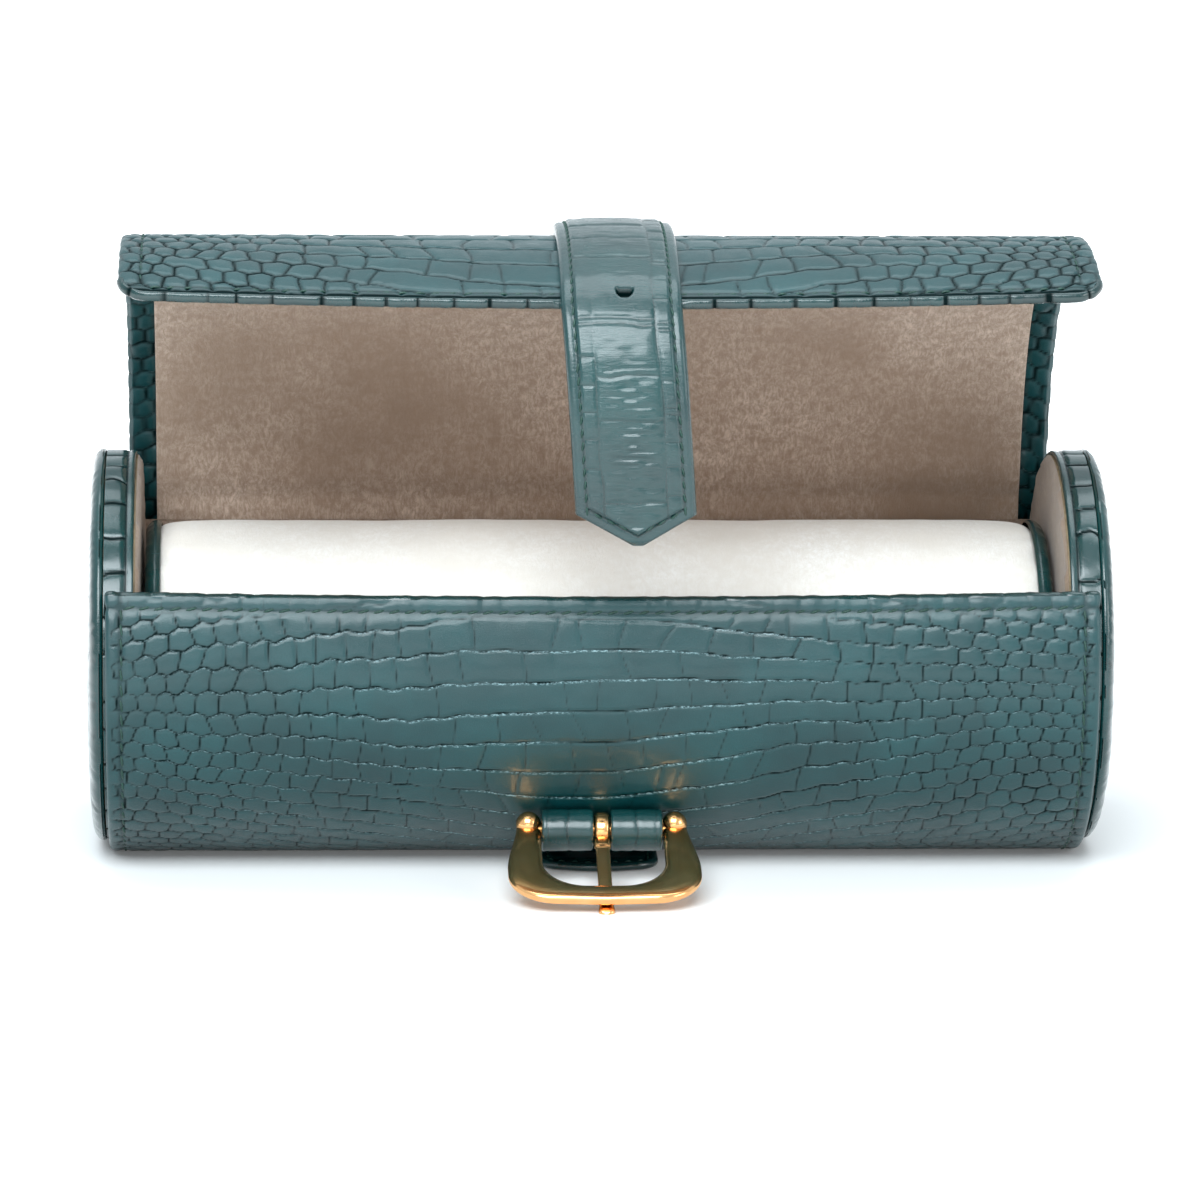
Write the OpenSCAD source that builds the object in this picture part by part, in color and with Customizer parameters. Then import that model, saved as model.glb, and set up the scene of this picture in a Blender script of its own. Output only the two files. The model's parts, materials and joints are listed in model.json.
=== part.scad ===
// Watch travel case: a leather drum with a bending lid, a strap and buckle, and a lift-out cushion.
// Millimetres. +X runs along the drum to the right, -Y faces the front and +Z is up.
// The origin is under the middle of the drum, on the surface that it stands on.
// The lid is drawn open. Its shape is set out closed, round the drum, and then turned about its
// bending lines, so both positions follow the same values.
// Angles round the drum count from the front, upwards and over the top.

/* [Drum] */
// Length of the drum between its two end discs
drum_len = 210.8; // [150:0.2:320]
// Outer radius of the leather wall
wall_r = 44.9; // [38:0.1:60]
// Thickness of the wall's outer leather
wall_leather_t = 1.4; // [1:0.1:2]
// Thickness of the wall's stiffening board
wall_board_t = 1.0; // [0.6:0.1:2]
// Thickness of the padded suede lining
wall_lining_t = 2.5; // [1.5:0.1:3.5]
// Angle of the wall's front lip
lip_angle = 25.5; // [10:0.5:35]
// Depth of the flattened strip that the drum stands on
foot_depth = 1.0; // [0.4:0.1:1.2]

/* [End caps] */
// Thickness of each end disc at its middle
disc_t = 4.8; // [3:0.1:8]
// How far each disc's face falls from its middle to its rounded edge
disc_dome = 0.7; // [0:0.1:2]
// Radius of the disc's rounded outer edge
disc_edge_r = 3.4; // [1.5:0.1:4]
// Width of the leather band on each plug, along the drum
band_w = 6.2; // [4:0.1:12]
// Thickness of the leather band
band_t = 1.3; // [0.8:0.1:2]
// Thickness of the pleated suede on the plug's inner face
pleat_t = 0.6; // [0.4:0.1:1.5]

/* [Lid] */
// How far each side of the lid stands in from the end of the wall
lid_inset = 3.6; // [1:0.1:8]
// Angle of the free edge, round the closed lid
lid_end = -29.4; // [-38:0.5:-20]
// Thickness of the lid's outer leather
lid_leather_t = 1.2; // [0.8:0.1:2]
// Thickness of the lid's stiffening board
lid_board_t = 0.7; // [0.5:0.1:1.5]
// Thickness of the lid's suede lining
lid_lining_t = 0.7; // [0.5:0.1:1.5]
// Width of the leather margin turned in beside the lining
margin_w = 6.0; // [3:0.5:12]
// Radius of the corners at the free edge
lid_corner_r = 6.0; // [3:0.5:12]
// Angle of the hinge line, round the closed lid
hinge_angle = 142; // [130:0.5:150]
// How far the hinge is open in the position drawn
hinge_open = 40.5; // [0:0.5:50]
// How much further the hinge opens
hinge_extra = 12; // [0:1:15]
// How far each of the other bending lines is open in the position drawn
flex_open = 11.4; // [0:0.1:14]

/* [Strap] */
// Width of the strap
strap_w = 25.0; // [15:0.5:35]
// Thickness of the strap
strap_t = 3.4; // [2:0.1:4]
// How far the strap sits to the right of the middle
strap_x = 1.6; // [-4:0.1:4]
// Angle at which the strap starts on the closed lid
strap_start = 96; // [80:1:104]
// Length of the two short stretches that bend over the free edge
bend_len = [6, 12]; // [4:1:16]
// Length of the stiff tip, from its bending line to its point
tip_len = 33; // [24:1:45]
// Length of the pointed part of the tip
point_len = 6.5; // [4:0.5:12]
// How far the loose strap leans to the right
strap_lean = 4; // [-6:0.5:6]
// Radius of the round hole for the tongue
hole_r = 1.7; // [1.2:0.1:2.5]
// Distance of the hole from the strap's first bending line
hole_back = 4.8; // [3:0.1:12]
// Turn of each stretch, inwards, in the position drawn
strap_turn = [18, 18, 18]; // [0:1:30]

/* [Buckle] */
// Angle of the heel bar round the drum
buckle_angle = -41; // [-50:0.5:-30]
// Slope of the frame below level, lying on its tongue
frame_slope = 17.5; // [10:0.5:30]
// Length of the frame from the heel bar's axis to its far edge
frame_len = 28.5; // [24:0.5:40]
// Widest part of the frame
frame_w = 41.0; // [32:0.5:56]
// Thickness of the frame
frame_t = 2.7; // [1.6:0.1:3.5]
// Width of the far bar and of the arms at the heel
bar_w = 5.0; // [4:0.1:7]
// Radius of the heel bar
heel_r = 1.4; // [1.0:0.1:2.0]
// Radius of the leather loop round the heel bar
loop_r = 4.4; // [3.8:0.1:5.5]
// Thickness of the leather that the loop is sewn from
chape_t = 1.8; // [1.2:0.1:2.4]
// Width of the tongue's blade
tongue_w = 2.8; // [2:0.1:5]
// Thickness of the tongue's blade
tongue_t = 1.2; // [1:0.1:2]
// How far the backing tab reaches out in front of the drum's axis
tab_reach = 30; // [24:0.5:42]

/* [Cushion] */
// Room for a watch bracelet between the cushion roll and the lining
bracelet_room = 6.2; // [3:0.1:10]
// How much the cover draws in towards each end
roll_crown = 0.9; // [0:0.1:2]
// Thickness of the suede cover
cover_t = 1.6; // [1:0.1:3]
// Width of the leather end of the roll, along the drum
roll_end_w = 3.4; // [2:0.1:6]

/* [Hidden] */

// Clearance between pieces that move past each other
gap = 0.3;
// Radial clearance of a pin that turns in its bore
running_gap = 0.05;
// Clearance between the closed lid and the plugs under it
lid_seat_gap = 0.25;
// Width of the groove between a disc and the wall
groove_w = 0.5;
// Clearance at the seams of the lid's rolled edge
seam = 0.03;
// Smoothness of round pieces
round_fn = 96;

segments = 5;
lid_t = lid_leather_t + lid_board_t + lid_lining_t;
plug_r = wall_r - wall_leather_t - wall_board_t - 0.1;
board_r = plug_r + 0.1;
lining_r = board_r - wall_lining_t;
axis_z = wall_r - foot_depth;
roll_r = lining_r - bracelet_room;
half_len = drum_len / 2;
disc_r = plug_r + 0.1;
plug_x = half_len - band_w;
lid_w = drum_len - 2 * lid_inset;
face_x = plug_x - pleat_t;

// The closed lid is one arc. Its centre lies in front of the drum's axis, so that it clears the
// plugs at the hinge and the front wall at its free edge.
lid_shift = (wall_r + gap - plug_r - lid_seat_gap) / (cos(lid_end) + cos(180 - hinge_angle));
lid_ri = wall_r + gap - lid_shift * cos(lid_end);
lid_ro = lid_ri + lid_t;
segment_angle = (hinge_angle - lid_end) / segments;
wall_end = hinge_polar(hinge_point(0)) + 0.5 * gap / wall_r * 180 / PI;
lid_cut = 0.5 * gap / lid_ro * 180 / PI;
lid_edge_r = lid_t / 2;
lid_rm = lid_ri + lid_edge_r;
lid_edge_cut = lid_edge_r / lid_rm * 180 / PI;
lid_corner_cut = lid_corner_r / lid_rm * 180 / PI;
bead_tilt_cut = (lid_edge_r * tan(lid_corner_cut / 2) + seam) / lid_rm * 180 / PI;
lip_binding_r = (wall_leather_t + wall_board_t) / 2;
lip_binding_cut = lip_binding_r / (wall_r - lip_binding_r) * 180 / PI;

// The strap lies on the lid, so its stretches need room where the lid opens.
strap_r = lid_ro + strap_t;
strap_mid = lid_ro + strap_t / 2;
strap_most_open = flex_open * (1 + hinge_extra / max(hinge_open, 1));
strap_cut = 0.5 * (gap + strap_t * tan(strap_most_open)) / strap_r * 180 / PI;
strap_over = 1.5;
strap_end = lid_end - strap_over / lid_ro * 180 / PI;
hole_angle = strap_end + hole_back / strap_mid * 180 / PI;

// The heel bar lies in front of the wall, held by its loop.
heel_d = wall_r + gap + loop_r;
heel_y = -heel_d * cos(buckle_angle);
heel_z = axis_z + heel_d * sin(buckle_angle);
bore_r = heel_r + running_gap;
finial_r = bar_w / 2 + 0.1;
loop_half = strap_w / 2 + 0.3;
finial_x = loop_half + 0.2 + finial_r;
slot_half = tongue_w / 2 + 0.4;
knuckle_r = loop_r - 0.5;
tail_end = -62;
tongue_slope = atan((frame_t / 2 + 0.15 + tongue_t / 2) / (frame_len - bar_w / 2));

roll_z = axis_z - (lining_r - gap - roll_r);
roll_half = face_x - 1.2;
cover_half = roll_half - roll_end_w;

function hinge_point(k) = lid_point(lid_ro, hinge_angle - k * segment_angle);
function lid_point(r, a) = [-lid_shift - r * cos(a), axis_z + r * sin(a)];
function hinge_polar(p) = 180 - atan((p[1] - axis_z) / p[0]);
function arc(cx, cy, r, from, to, n) =
    [for (i = [0:n]) let (a = from + (to - from) * i / n) [cx + r * cos(a), cy + r * sin(a)]];

// Turns an upright piece so that its axis lies along the drum and its angles count from the front.
module along_drum(z = axis_z, y = 0) {
    translate([0, y, z]) rotate([90, 0, -90]) children();
}

// A curved sheet between two radii and two angles, centred on the drum's middle.
module sheet(r_in, r_out, from, to, width) {
    rotate_extrude(angle = to - from, start = from, $fn = round_fn)
        translate([r_in, -width / 2]) square([r_out - r_in, width]);
}

// A turned piece about the drum's axis, from its outline of [radius, distance along the drum].
module turned(outline) {
    along_drum() rotate_extrude($fn = round_fn) polygon(outline);
}

// Opens what it holds about a line along the drum at [y, z].
module opened_about(pivot, angle) {
    translate([0, pivot[0], pivot[1]]) rotate([-angle, 0, 0]) translate([0, -pivot[0], -pivot[1]]) children();
}

// Carries a piece of the closed lid's stretch k to its place on the open lid.
module opened(k) {
    if (k == 0) opened_about(hinge_point(0), hinge_open) children();
    else opened(k - 1) opened_about(hinge_point(k), flex_open) children();
}

module on_lid(k) {
    opened(k) along_drum(y = -lid_shift) children();
}

module mirrored(side) {
    if (side < 0) mirror([1, 0, 0]) children();
    else children();
}

// ---- drum ----

module wall_leather() {
    color("#1f5a52") difference() {
        along_drum() sheet(wall_r - wall_leather_t, wall_r, wall_end - 360, lip_angle - lip_binding_cut, drum_len);
        translate([-drum_len, -wall_r, -wall_r]) cube([2 * drum_len, 2 * wall_r, wall_r]);
    }
}

module wall_board() {
    color("#8c7a5e") along_drum()
        sheet(board_r, board_r + wall_board_t, wall_end - 360, lip_angle - lip_binding_cut, drum_len);
}

module wall_lining() {
    color("#d8ccb8") along_drum()
        sheet(lining_r, board_r, wall_end - 360, lip_angle - 4, 2 * (face_x - 0.1));
}

module front_lip_binding() {
    color("#1f5a52") along_drum() rotate([0, 0, lip_angle])
        translate([wall_r - lip_binding_r, 0, 0])
            cylinder(r = lip_binding_r, h = drum_len - 1, center = true, $fn = 32);
}

// ---- end caps ----

module end_disc(side) {
    edge_x = half_len + groove_w;
    face = edge_x + disc_t - disc_dome;
    back_r = 0.8;
    outline = concat(
        [[0, edge_x], [disc_r - back_r, edge_x]],
        arc(disc_r - back_r, edge_x + back_r, back_r, -60, 0, 3),
        arc(disc_r - disc_edge_r, face - disc_edge_r, disc_edge_r, 0, 80, 8),
        [[disc_r * 0.6, face + disc_dome * 0.62], [disc_r * 0.3, face + disc_dome * 0.9], [0, face + disc_dome]]);
    color("#1b524b") mirrored(-side) turned(outline);
}

module plug_band(side) {
    round_r = 0.6;
    outline = concat(
        [[plug_r - band_t, plug_x], [plug_r - round_r, plug_x]],
        arc(plug_r - round_r, plug_x + round_r, round_r, -60, 0, 3),
        [[plug_r, half_len], [plug_r - band_t, half_len]]);
    color("#23635a") mirrored(-side) turned(outline);
}

module plug_core(side) {
    outline = [[0, plug_x], [plug_r - band_t, plug_x], [plug_r - band_t, half_len + groove_w], [0, half_len + groove_w]];
    color("#8c7a5e") mirrored(-side) turned(outline);
}

module pleated_face(side) {
    face_r = plug_r - band_t + 0.4;
    outline = [[0, face_x], [face_r - pleat_t, face_x], [face_r, plug_x], [0, plug_x]];
    color("#cbbda6") mirrored(-side) turned(outline);
}

// ---- lid ----

function stretch_top(k) = hinge_angle - k * segment_angle - lid_cut;
function stretch_low(k) =
    k == segments - 1 ? lid_end + lid_edge_cut : hinge_angle - (k + 1) * segment_angle + lid_cut;

// One stretch of a layer of the lid, with its front corners rounded on the last one.
module lid_layer(k, r_in, t, width) {
    on_lid(k) difference() {
        sheet(r_in, r_in + t, stretch_low(k), stretch_top(k), width);
        if (k == segments - 1 && width > lid_w - 2 * lid_corner_r)
            for (side = [-1, 1]) at_lid_corner(side) corner_offcut();
    }
}

// Puts a piece at the centre of a front corner, flat on the lid, with +X and -Y towards its edges.
module at_lid_corner(side) {
    rotate([0, 0, lid_end + lid_corner_cut / 2])
        translate([lid_rm, lid_corner_r / 2, side * (lid_w / 2 - lid_corner_r)])
            rotate([0, 90, 0]) mirror([side > 0 ? 1 : 0, 0, 0]) children();
}

// What a rounded corner takes off the layers inside the rolled edge.
module corner_offcut() {
    reach = lid_corner_r + 1;
    difference() {
        translate([0, -reach, -lid_t]) cube([reach, reach, 2 * lid_t]);
        cylinder(r = lid_corner_r - lid_edge_r - seam, h = 3 * lid_t, center = true, $fn = 64);
    }
}

// Half of a round bead, bulging towards +X.
module half_bead() {
    polygon(arc(0, 0, lid_edge_r, -90, 90, 12));
}

module lid_leather(k) {
    color("#1f5a52") lid_layer(k, lid_ro - lid_leather_t, lid_leather_t, lid_w - 2 * lid_edge_r);
}

module lid_board(k) {
    color("#8c7a5e") lid_layer(k, lid_ri + lid_lining_t, lid_board_t, lid_w - 2 * lid_edge_r);
}

module lid_lining(k) {
    color("#cbbda6") lid_layer(k, lid_ri, lid_lining_t, lid_w - 2 * margin_w);
}

// The leather turned in along the two sides: a rolled edge and a flat margin on each.
module lid_margin(k) {
    flat_w = margin_w - lid_edge_r;
    low = k == segments - 1 ? lid_end + lid_corner_cut + bead_tilt_cut : stretch_low(k);
    color("#1b4f48") on_lid(k) for (side = [-1, 1]) {
        difference() {
            translate([0, 0, side * (lid_w / 2 - lid_edge_r - flat_w / 2)])
                sheet(lid_ri, lid_ri + lid_lining_t, stretch_low(k), stretch_top(k), flat_w);
            if (k == segments - 1) at_lid_corner(side) corner_offcut();
        }
        rotate_extrude(angle = stretch_top(k) - low, start = low, $fn = round_fn)
            translate([lid_rm, side * (lid_w / 2 - lid_edge_r)]) rotate([0, 0, side * 90]) half_bead();
    }
}

// The rolled edge along the free edge and round its two corners.
module lid_edge_binding() {
    straight = lid_w / 2 - lid_corner_r;
    color("#1f5a52") on_lid(segments - 1) {
        rotate([0, 0, lid_end + lid_edge_cut]) translate([lid_rm, 0, -straight])
            linear_extrude(height = 2 * straight) rotate([0, 0, -90]) half_bead();
        for (side = [-1, 1]) at_lid_corner(side) rotate_extrude(angle = 90, start = -90, $fn = 64)
            translate([lid_corner_r - lid_edge_r, 0]) half_bead();
    }
}

// ---- strap ----

module strap_on_lid(k, top, low) {
    color("#1f5a52") translate([strap_x, 0, 0]) on_lid(k) sheet(lid_ro, strap_r, low, top, strap_w);
}

module strap_root() {
    strap_on_lid(1, strap_start, hinge_angle - 2 * segment_angle + strap_cut);
}

module strap_back() {
    strap_on_lid(2, hinge_angle - 2 * segment_angle - strap_cut, hinge_angle - 3 * segment_angle + strap_cut);
}

module strap_top() {
    strap_on_lid(3, hinge_angle - 3 * segment_angle - strap_cut, hinge_angle - 4 * segment_angle + strap_cut);
}

// The stretch at the free edge ends in a round nose, about which the next stretch turns.
module strap_front() {
    color("#1f5a52") translate([strap_x, 0, 0]) on_lid(4) difference() {
        union() {
            sheet(lid_ro, strap_r, strap_end, hinge_angle - 4 * segment_angle - strap_cut, strap_w);
            rotate([0, 0, strap_end]) translate([strap_mid, 0, 0]) strap_nose();
        }
        rotate([0, 0, hole_angle]) translate([strap_mid, 0, 0]) rotate([0, 90, 0])
            cylinder(r = hole_r, h = strap_t + 2, center = true, $fn = 32);
    }
}

// Carries a loose stretch, drawn along -Y from its own bending line at the origin, to its place.
module loose(k) {
    if (k == 0) translate([strap_x, 0, 0]) on_lid(4) rotate([0, 0, strap_end])
        translate([strap_mid, 0, 0]) rotate([0, 90, 0]) rotate([strap_turn[0], 0, 0]) children();
    else loose(k - 1) translate(leaned([0, -bend_len[k - 1]])) rotate([strap_turn[k], 0, 0]) children();
}

// Moves a point of the loose strap sideways, so that its edges lean and its bending lines don't.
function leaned(p) = [p[0] - p[1] * tan(strap_lean), p[1]];

// The round nose of a stretch, bulging towards -Y from its flat end.
module strap_nose() {
    linear_extrude(height = strap_w, center = true) polygon(arc(0, 0, strap_t / 2, 180, 360, 12));
}

// A flat stretch between two bending lines, with a round nose at its far one.
module loose_stretch(length) {
    start = strap_t / 2 + gap;
    half = strap_w / 2;
    linear_extrude(height = strap_t, center = true)
        polygon([for (p = [[-half, -start], [-half, -length], [half, -length], [half, -start]]) leaned(p)]);
    translate(leaned([0, -length])) rotate([0, 90, 0]) strap_nose();
}

module strap_bend_upper() {
    color("#1f5a52") loose(0) loose_stretch(bend_len[0]);
}

module strap_bend_lower() {
    color("#1f5a52") loose(1) loose_stretch(bend_len[1]);
}

module strap_tip() {
    start = strap_t / 2 + gap;
    half = strap_w / 2;
    shoulder = tip_len - point_len;
    color("#1f5a52") loose(2) linear_extrude(height = strap_t, center = true)
        polygon([for (p = [[-half, -start], [-half, -shoulder], [-1.2, -tip_len], [1.2, -tip_len],
            [half, -shoulder], [half, -start]]) leaned(p)]);
}

// ---- buckle ----

// Puts a piece drawn flat, with its far side towards -Y, onto the heel bar at the frame's slope.
module on_heel_bar(slope) {
    translate([0, heel_y, heel_z]) rotate([slope, 0, 0]) children();
}

// Half of the frame's outline, inset by a bevel.
function frame_outer(b) = concat(
    [[finial_x + finial_r - b, 0], [frame_w / 2 - b, -frame_len * 0.5]],
    arc(frame_w / 2 - 10, -frame_len + 10, 10 - b, 0, -80, 8),
    [[0, -frame_len - 0.5 + b]]);
function frame_inner(b) = concat(
    [[finial_x - finial_r + b, 4], [finial_x - finial_r + b, -frame_len + bar_w + 10]],
    arc(finial_x - finial_r - 10, -frame_len + bar_w + 10, 10 + b, 0, -90, 8),
    [[0, -frame_len + bar_w - b]]);
function mirrored_outline(p) = concat(p, [for (i = [len(p) - 1:-1:0]) [-p[i][0], p[i][1]]]);

module frame_layer(z, t, b) {
    translate([0, 0, z]) linear_extrude(height = t) difference() {
        polygon(mirrored_outline(frame_outer(b)));
        polygon(mirrored_outline(frame_inner(b)));
    }
}

// The frame's arms end in round domes, which stand past the heel bar and above it.
module buckle_frame() {
    bevel = 0.5;
    color("#c9a24a") on_heel_bar(frame_slope) difference() {
        union() {
            frame_layer(-frame_t / 2, frame_t, bevel);
            frame_layer(-frame_t / 2 + bevel, frame_t - 2 * bevel, 0);
            for (side = [-1, 1]) translate([side * finial_x, 1.2, 0.8]) sphere(r = finial_r, $fn = 48);
        }
        rotate([0, 90, 0]) cylinder(r = heel_r, h = 2 * finial_x, center = true, $fn = 48);
    }
}

// The pin between the frame's arms, on which the frame and its tongue turn.
module heel_bar() {
    color("#d4ae55") translate([0, heel_y, heel_z]) rotate([0, 90, 0])
        cylinder(r = heel_r, h = 2 * finial_x, center = true, $fn = 48);
}

module buckle_tongue() {
    blade_start = knuckle_r - 0.6;
    tip = frame_len + 1.6;
    color("#c9a24a") on_heel_bar(frame_slope + tongue_slope) difference() {
        union() {
            rotate([0, 90, 0]) cylinder(r = knuckle_r, h = tongue_w, center = true, $fn = 48);
            translate([-tongue_w / 2, -tip + tongue_w / 2, -tongue_t / 2])
                cube([tongue_w, tip - blade_start - tongue_w / 2, tongue_t]);
            translate([0, -tip + tongue_w / 2, 0])
                cylinder(r = tongue_w / 2, h = tongue_t, center = true, $fn = 32);
        }
        rotate([0, 90, 0]) cylinder(r = bore_r, h = tongue_w + 2, center = true, $fn = 48);
    }
}

// The leather loop round the heel bar, cut through for the tongue, and its tail sewn to the wall.
module chape_loop() {
    color("#1f5a52") difference() {
        union() {
            translate([0, heel_y, heel_z]) rotate([0, 90, 0])
                cylinder(r = loop_r, h = 2 * loop_half, center = true, $fn = 64);
            along_drum() sheet(wall_r, wall_r + chape_t, tail_end, buckle_angle + 1, 2 * loop_half);
        }
        translate([0, heel_y, heel_z]) rotate([0, 90, 0]) {
            cylinder(r = bore_r, h = 3 * loop_half, center = true, $fn = 48);
            cylinder(r = loop_r - 0.15, h = 2 * slot_half, center = true, $fn = 48);
        }
        slot_opening();
    }
}

// Opens the loop's slot to the front, where the tongue moves.
module slot_opening() {
    translate([0, heel_y, heel_z]) rotate([frame_slope, 0, 0])
        translate([-slot_half, -2 * loop_r, -loop_r - 1]) cube([2 * slot_half, 2 * loop_r + 1, 2 * loop_r + 2]);
}

// The leather tongue-shaped tab behind the buckle, lying almost on the table.
module buckle_backing_tab() {
    low = 0.2;
    tab_t = 1.8;
    end_r = loop_half + 1.4;
    color("#1b524b") difference() {
        translate([0, 0, low]) linear_extrude(height = tab_t) polygon(mirrored_outline(concat(
            [[loop_half, -12]],
            arc(0, -tab_reach + end_r, end_r, -acos(loop_half / end_r), -90, 12))));
        along_drum() cylinder(r = wall_r, h = drum_len, center = true, $fn = round_fn);
    }
}

// ---- cushion ----

module about_roll(outline) {
    along_drum(roll_z) rotate_extrude($fn = round_fn) polygon(outline);
}

module roll_core() {
    core_r = roll_r - cover_t - roll_crown;
    color("#b9b2a4") about_roll([[0, -cover_half], [core_r, -cover_half], [core_r, cover_half], [0, cover_half]]);
}

module roll_cover() {
    core_r = roll_r - cover_t - roll_crown;
    draw = 9;
    half = concat([for (i = [0:6]) [roll_r - roll_crown * pow(1 - i / 6, 2), cover_half - draw * i / 6]]);
    outline = concat([[core_r, cover_half]], half, [for (i = [6:-1:0]) [half[i][0], -half[i][1]]],
        [[core_r, -cover_half]]);
    color("#efe7d6") about_roll(outline);
}

module roll_end(side) {
    rim_r = roll_r - roll_crown - 0.2;
    round_r = 2.6;
    outline = concat(
        [[0, cover_half], [rim_r, cover_half]],
        arc(rim_r - round_r, cover_half + roll_end_w - round_r - 0.3, round_r, 0, 75, 6),
        [[rim_r * 0.5, cover_half + roll_end_w - 0.05], [0, cover_half + roll_end_w]]);
    color("#23635a") mirrored(-side) about_roll(outline);
}

wall_leather();
wall_board();
wall_lining();
front_lip_binding();
end_disc(-1);  // end_disc_left
end_disc(1);  // end_disc_right
plug_band(-1);  // plug_band_left
plug_band(1);  // plug_band_right
plug_core(-1);  // plug_core_left
plug_core(1);  // plug_core_right
pleated_face(-1);  // pleated_face_left
pleated_face(1);  // pleated_face_right
chape_loop();
buckle_backing_tab();
lid_leather(0);  // lid_leather_1
lid_leather(1);  // lid_leather_2
lid_leather(2);  // lid_leather_3
lid_leather(3);  // lid_leather_4
lid_leather(4);  // lid_leather_5
lid_board(0);  // lid_board_1
lid_board(1);  // lid_board_2
lid_board(2);  // lid_board_3
lid_board(3);  // lid_board_4
lid_board(4);  // lid_board_5
lid_lining(0);  // lid_lining_1
lid_lining(1);  // lid_lining_2
lid_lining(2);  // lid_lining_3
lid_lining(3);  // lid_lining_4
lid_lining(4);  // lid_lining_5
lid_margin(0);  // lid_margin_1
lid_margin(1);  // lid_margin_2
lid_margin(2);  // lid_margin_3
lid_margin(3);  // lid_margin_4
lid_margin(4);  // lid_margin_5
lid_edge_binding();
strap_root();
strap_back();
strap_top();
strap_front();
strap_bend_upper();
strap_bend_lower();
strap_tip();
buckle_frame();
heel_bar();
buckle_tongue();
roll_core();
roll_cover();
roll_end(-1);  // roll_end_left
roll_end(1);  // roll_end_right
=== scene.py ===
"""Looks of a watch travel case: an embossed leather drum with a bending lid, strap, buckle and cushion.

Points and sizes are worked out in millimetres and scaled to metres where a mesh is made.
+X runs along the drum, -Y faces the front and +Z is up, as in the frame.
"""
import json
import math

import bpy
import numpy as np
from mathutils import Matrix, Vector


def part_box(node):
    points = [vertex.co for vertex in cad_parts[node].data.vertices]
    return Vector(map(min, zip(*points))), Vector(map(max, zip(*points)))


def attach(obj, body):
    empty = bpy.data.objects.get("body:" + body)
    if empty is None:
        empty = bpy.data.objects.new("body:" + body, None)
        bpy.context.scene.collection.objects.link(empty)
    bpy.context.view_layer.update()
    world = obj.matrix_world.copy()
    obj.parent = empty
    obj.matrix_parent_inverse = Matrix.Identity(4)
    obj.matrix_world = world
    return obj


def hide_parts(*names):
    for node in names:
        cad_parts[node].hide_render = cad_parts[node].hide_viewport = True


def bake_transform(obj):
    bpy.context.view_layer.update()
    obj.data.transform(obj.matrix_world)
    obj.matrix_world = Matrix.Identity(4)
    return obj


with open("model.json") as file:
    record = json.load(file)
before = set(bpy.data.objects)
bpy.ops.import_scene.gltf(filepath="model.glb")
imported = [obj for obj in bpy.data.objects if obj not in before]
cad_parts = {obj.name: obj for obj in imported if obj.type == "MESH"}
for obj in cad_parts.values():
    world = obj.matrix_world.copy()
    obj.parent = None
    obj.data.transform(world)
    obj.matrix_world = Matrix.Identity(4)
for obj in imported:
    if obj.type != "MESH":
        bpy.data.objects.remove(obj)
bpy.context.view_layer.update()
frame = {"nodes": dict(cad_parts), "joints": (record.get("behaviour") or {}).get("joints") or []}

MM = 0.001


# ---------------------------------------------------------------- sizes from the frame

def low_high(node):
    """A node's two corners in millimetres."""
    low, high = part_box(node)
    return np.array(low) / MM, np.array(high) / MM


def joint_point(name):
    """Where a joint lies at rest, as [y, z] in millimetres."""
    joint = next(j for j in frame["joints"] if j["name"] == name)
    return np.array(joint["pos_m"][1:]) / MM


WALL_LOW, WALL_HIGH = low_high("wall_leather")
HALF_LEN = WALL_HIGH[0]
WALL_R = -WALL_LOW[1]
FOOT = 1.0
AXIS_Z = WALL_R - FOOT
LIP_R = 1.2
LINING_T = 2.5
LIP_ANGLE = 25.5
BOARD_IN_R = WALL_R - 2 * LIP_R
LINING_R = BOARD_IN_R - LINING_T
DISC_R = low_high("end_disc_right")[1][1]
PLUG_R = low_high("plug_band_right")[1][1]
PLUG_X = low_high("plug_band_right")[0][0]
FACE_X = low_high("pleated_face_right")[0][0]

LID_HALF = low_high("lid_margin_2")[1][0]
LID_T = 2.2
LID_LIFT = 0.35
LID_EDGE_R = LID_T / 2
LID_CORNER_R = 6.0
MARGIN_W = 6.0
FLEXES = [joint_point(n) for n in ("lid_hinge", "lid_flex_1", "lid_flex_2", "lid_flex_3", "lid_flex_4")]
STRETCHES = ["lid_stretch_%d" % k for k in range(1, 6)]

STRAP_W = 25.0
STRAP_T = 3.4
STRAP_X = 1.6
STRAP_LEAN = math.tan(math.radians(4))
STRAP_TIP = 33.0
BENDS = [joint_point(n) for n in ("strap_flex_1", "strap_flex_2", "strap_swing")]

HEEL = joint_point("buckle_hinge")
LOOP_R = 4.4
LOOP_HALF = low_high("chape_loop")[1][0]
ARM_X = 15.6
ARM_R = 2.6
FRAME_SLOPE = math.radians(17.5)
FRAME_LEN = 28.5
FRAME_HALF_W = 20.5
FRAME_T = 2.7
BAR_W = 5.0
TONGUE_SLOPE = math.radians(17.5 + 4.7)

ROLL_LOW, ROLL_HIGH = low_high("roll_cover")
ROLL_R = (ROLL_HIGH[1] - ROLL_LOW[1]) / 2
ROLL_Z = (ROLL_HIGH[2] + ROLL_LOW[2]) / 2
COVER_HALF = ROLL_HIGH[0]
ROLL_HALF = low_high("roll_end_right")[1][0]


# ---------------------------------------------------------------- numbers and noise

def unit(v):
    return v / np.maximum(np.linalg.norm(v, axis=-1, keepdims=True), 1e-9)


def smooth(t):
    t = np.clip(t, 0, 1)
    return t * t * (3 - 2 * t)


def peak(x, at, width):
    """1 at a place, falling away to 0 within a few widths."""
    return np.exp(-((x - at) / width) ** 2)


def lengths(path):
    """How far along a path each of its points lies."""
    return np.concatenate([[0], np.cumsum(np.linalg.norm(np.diff(path, axis=0), axis=1))])


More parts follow.
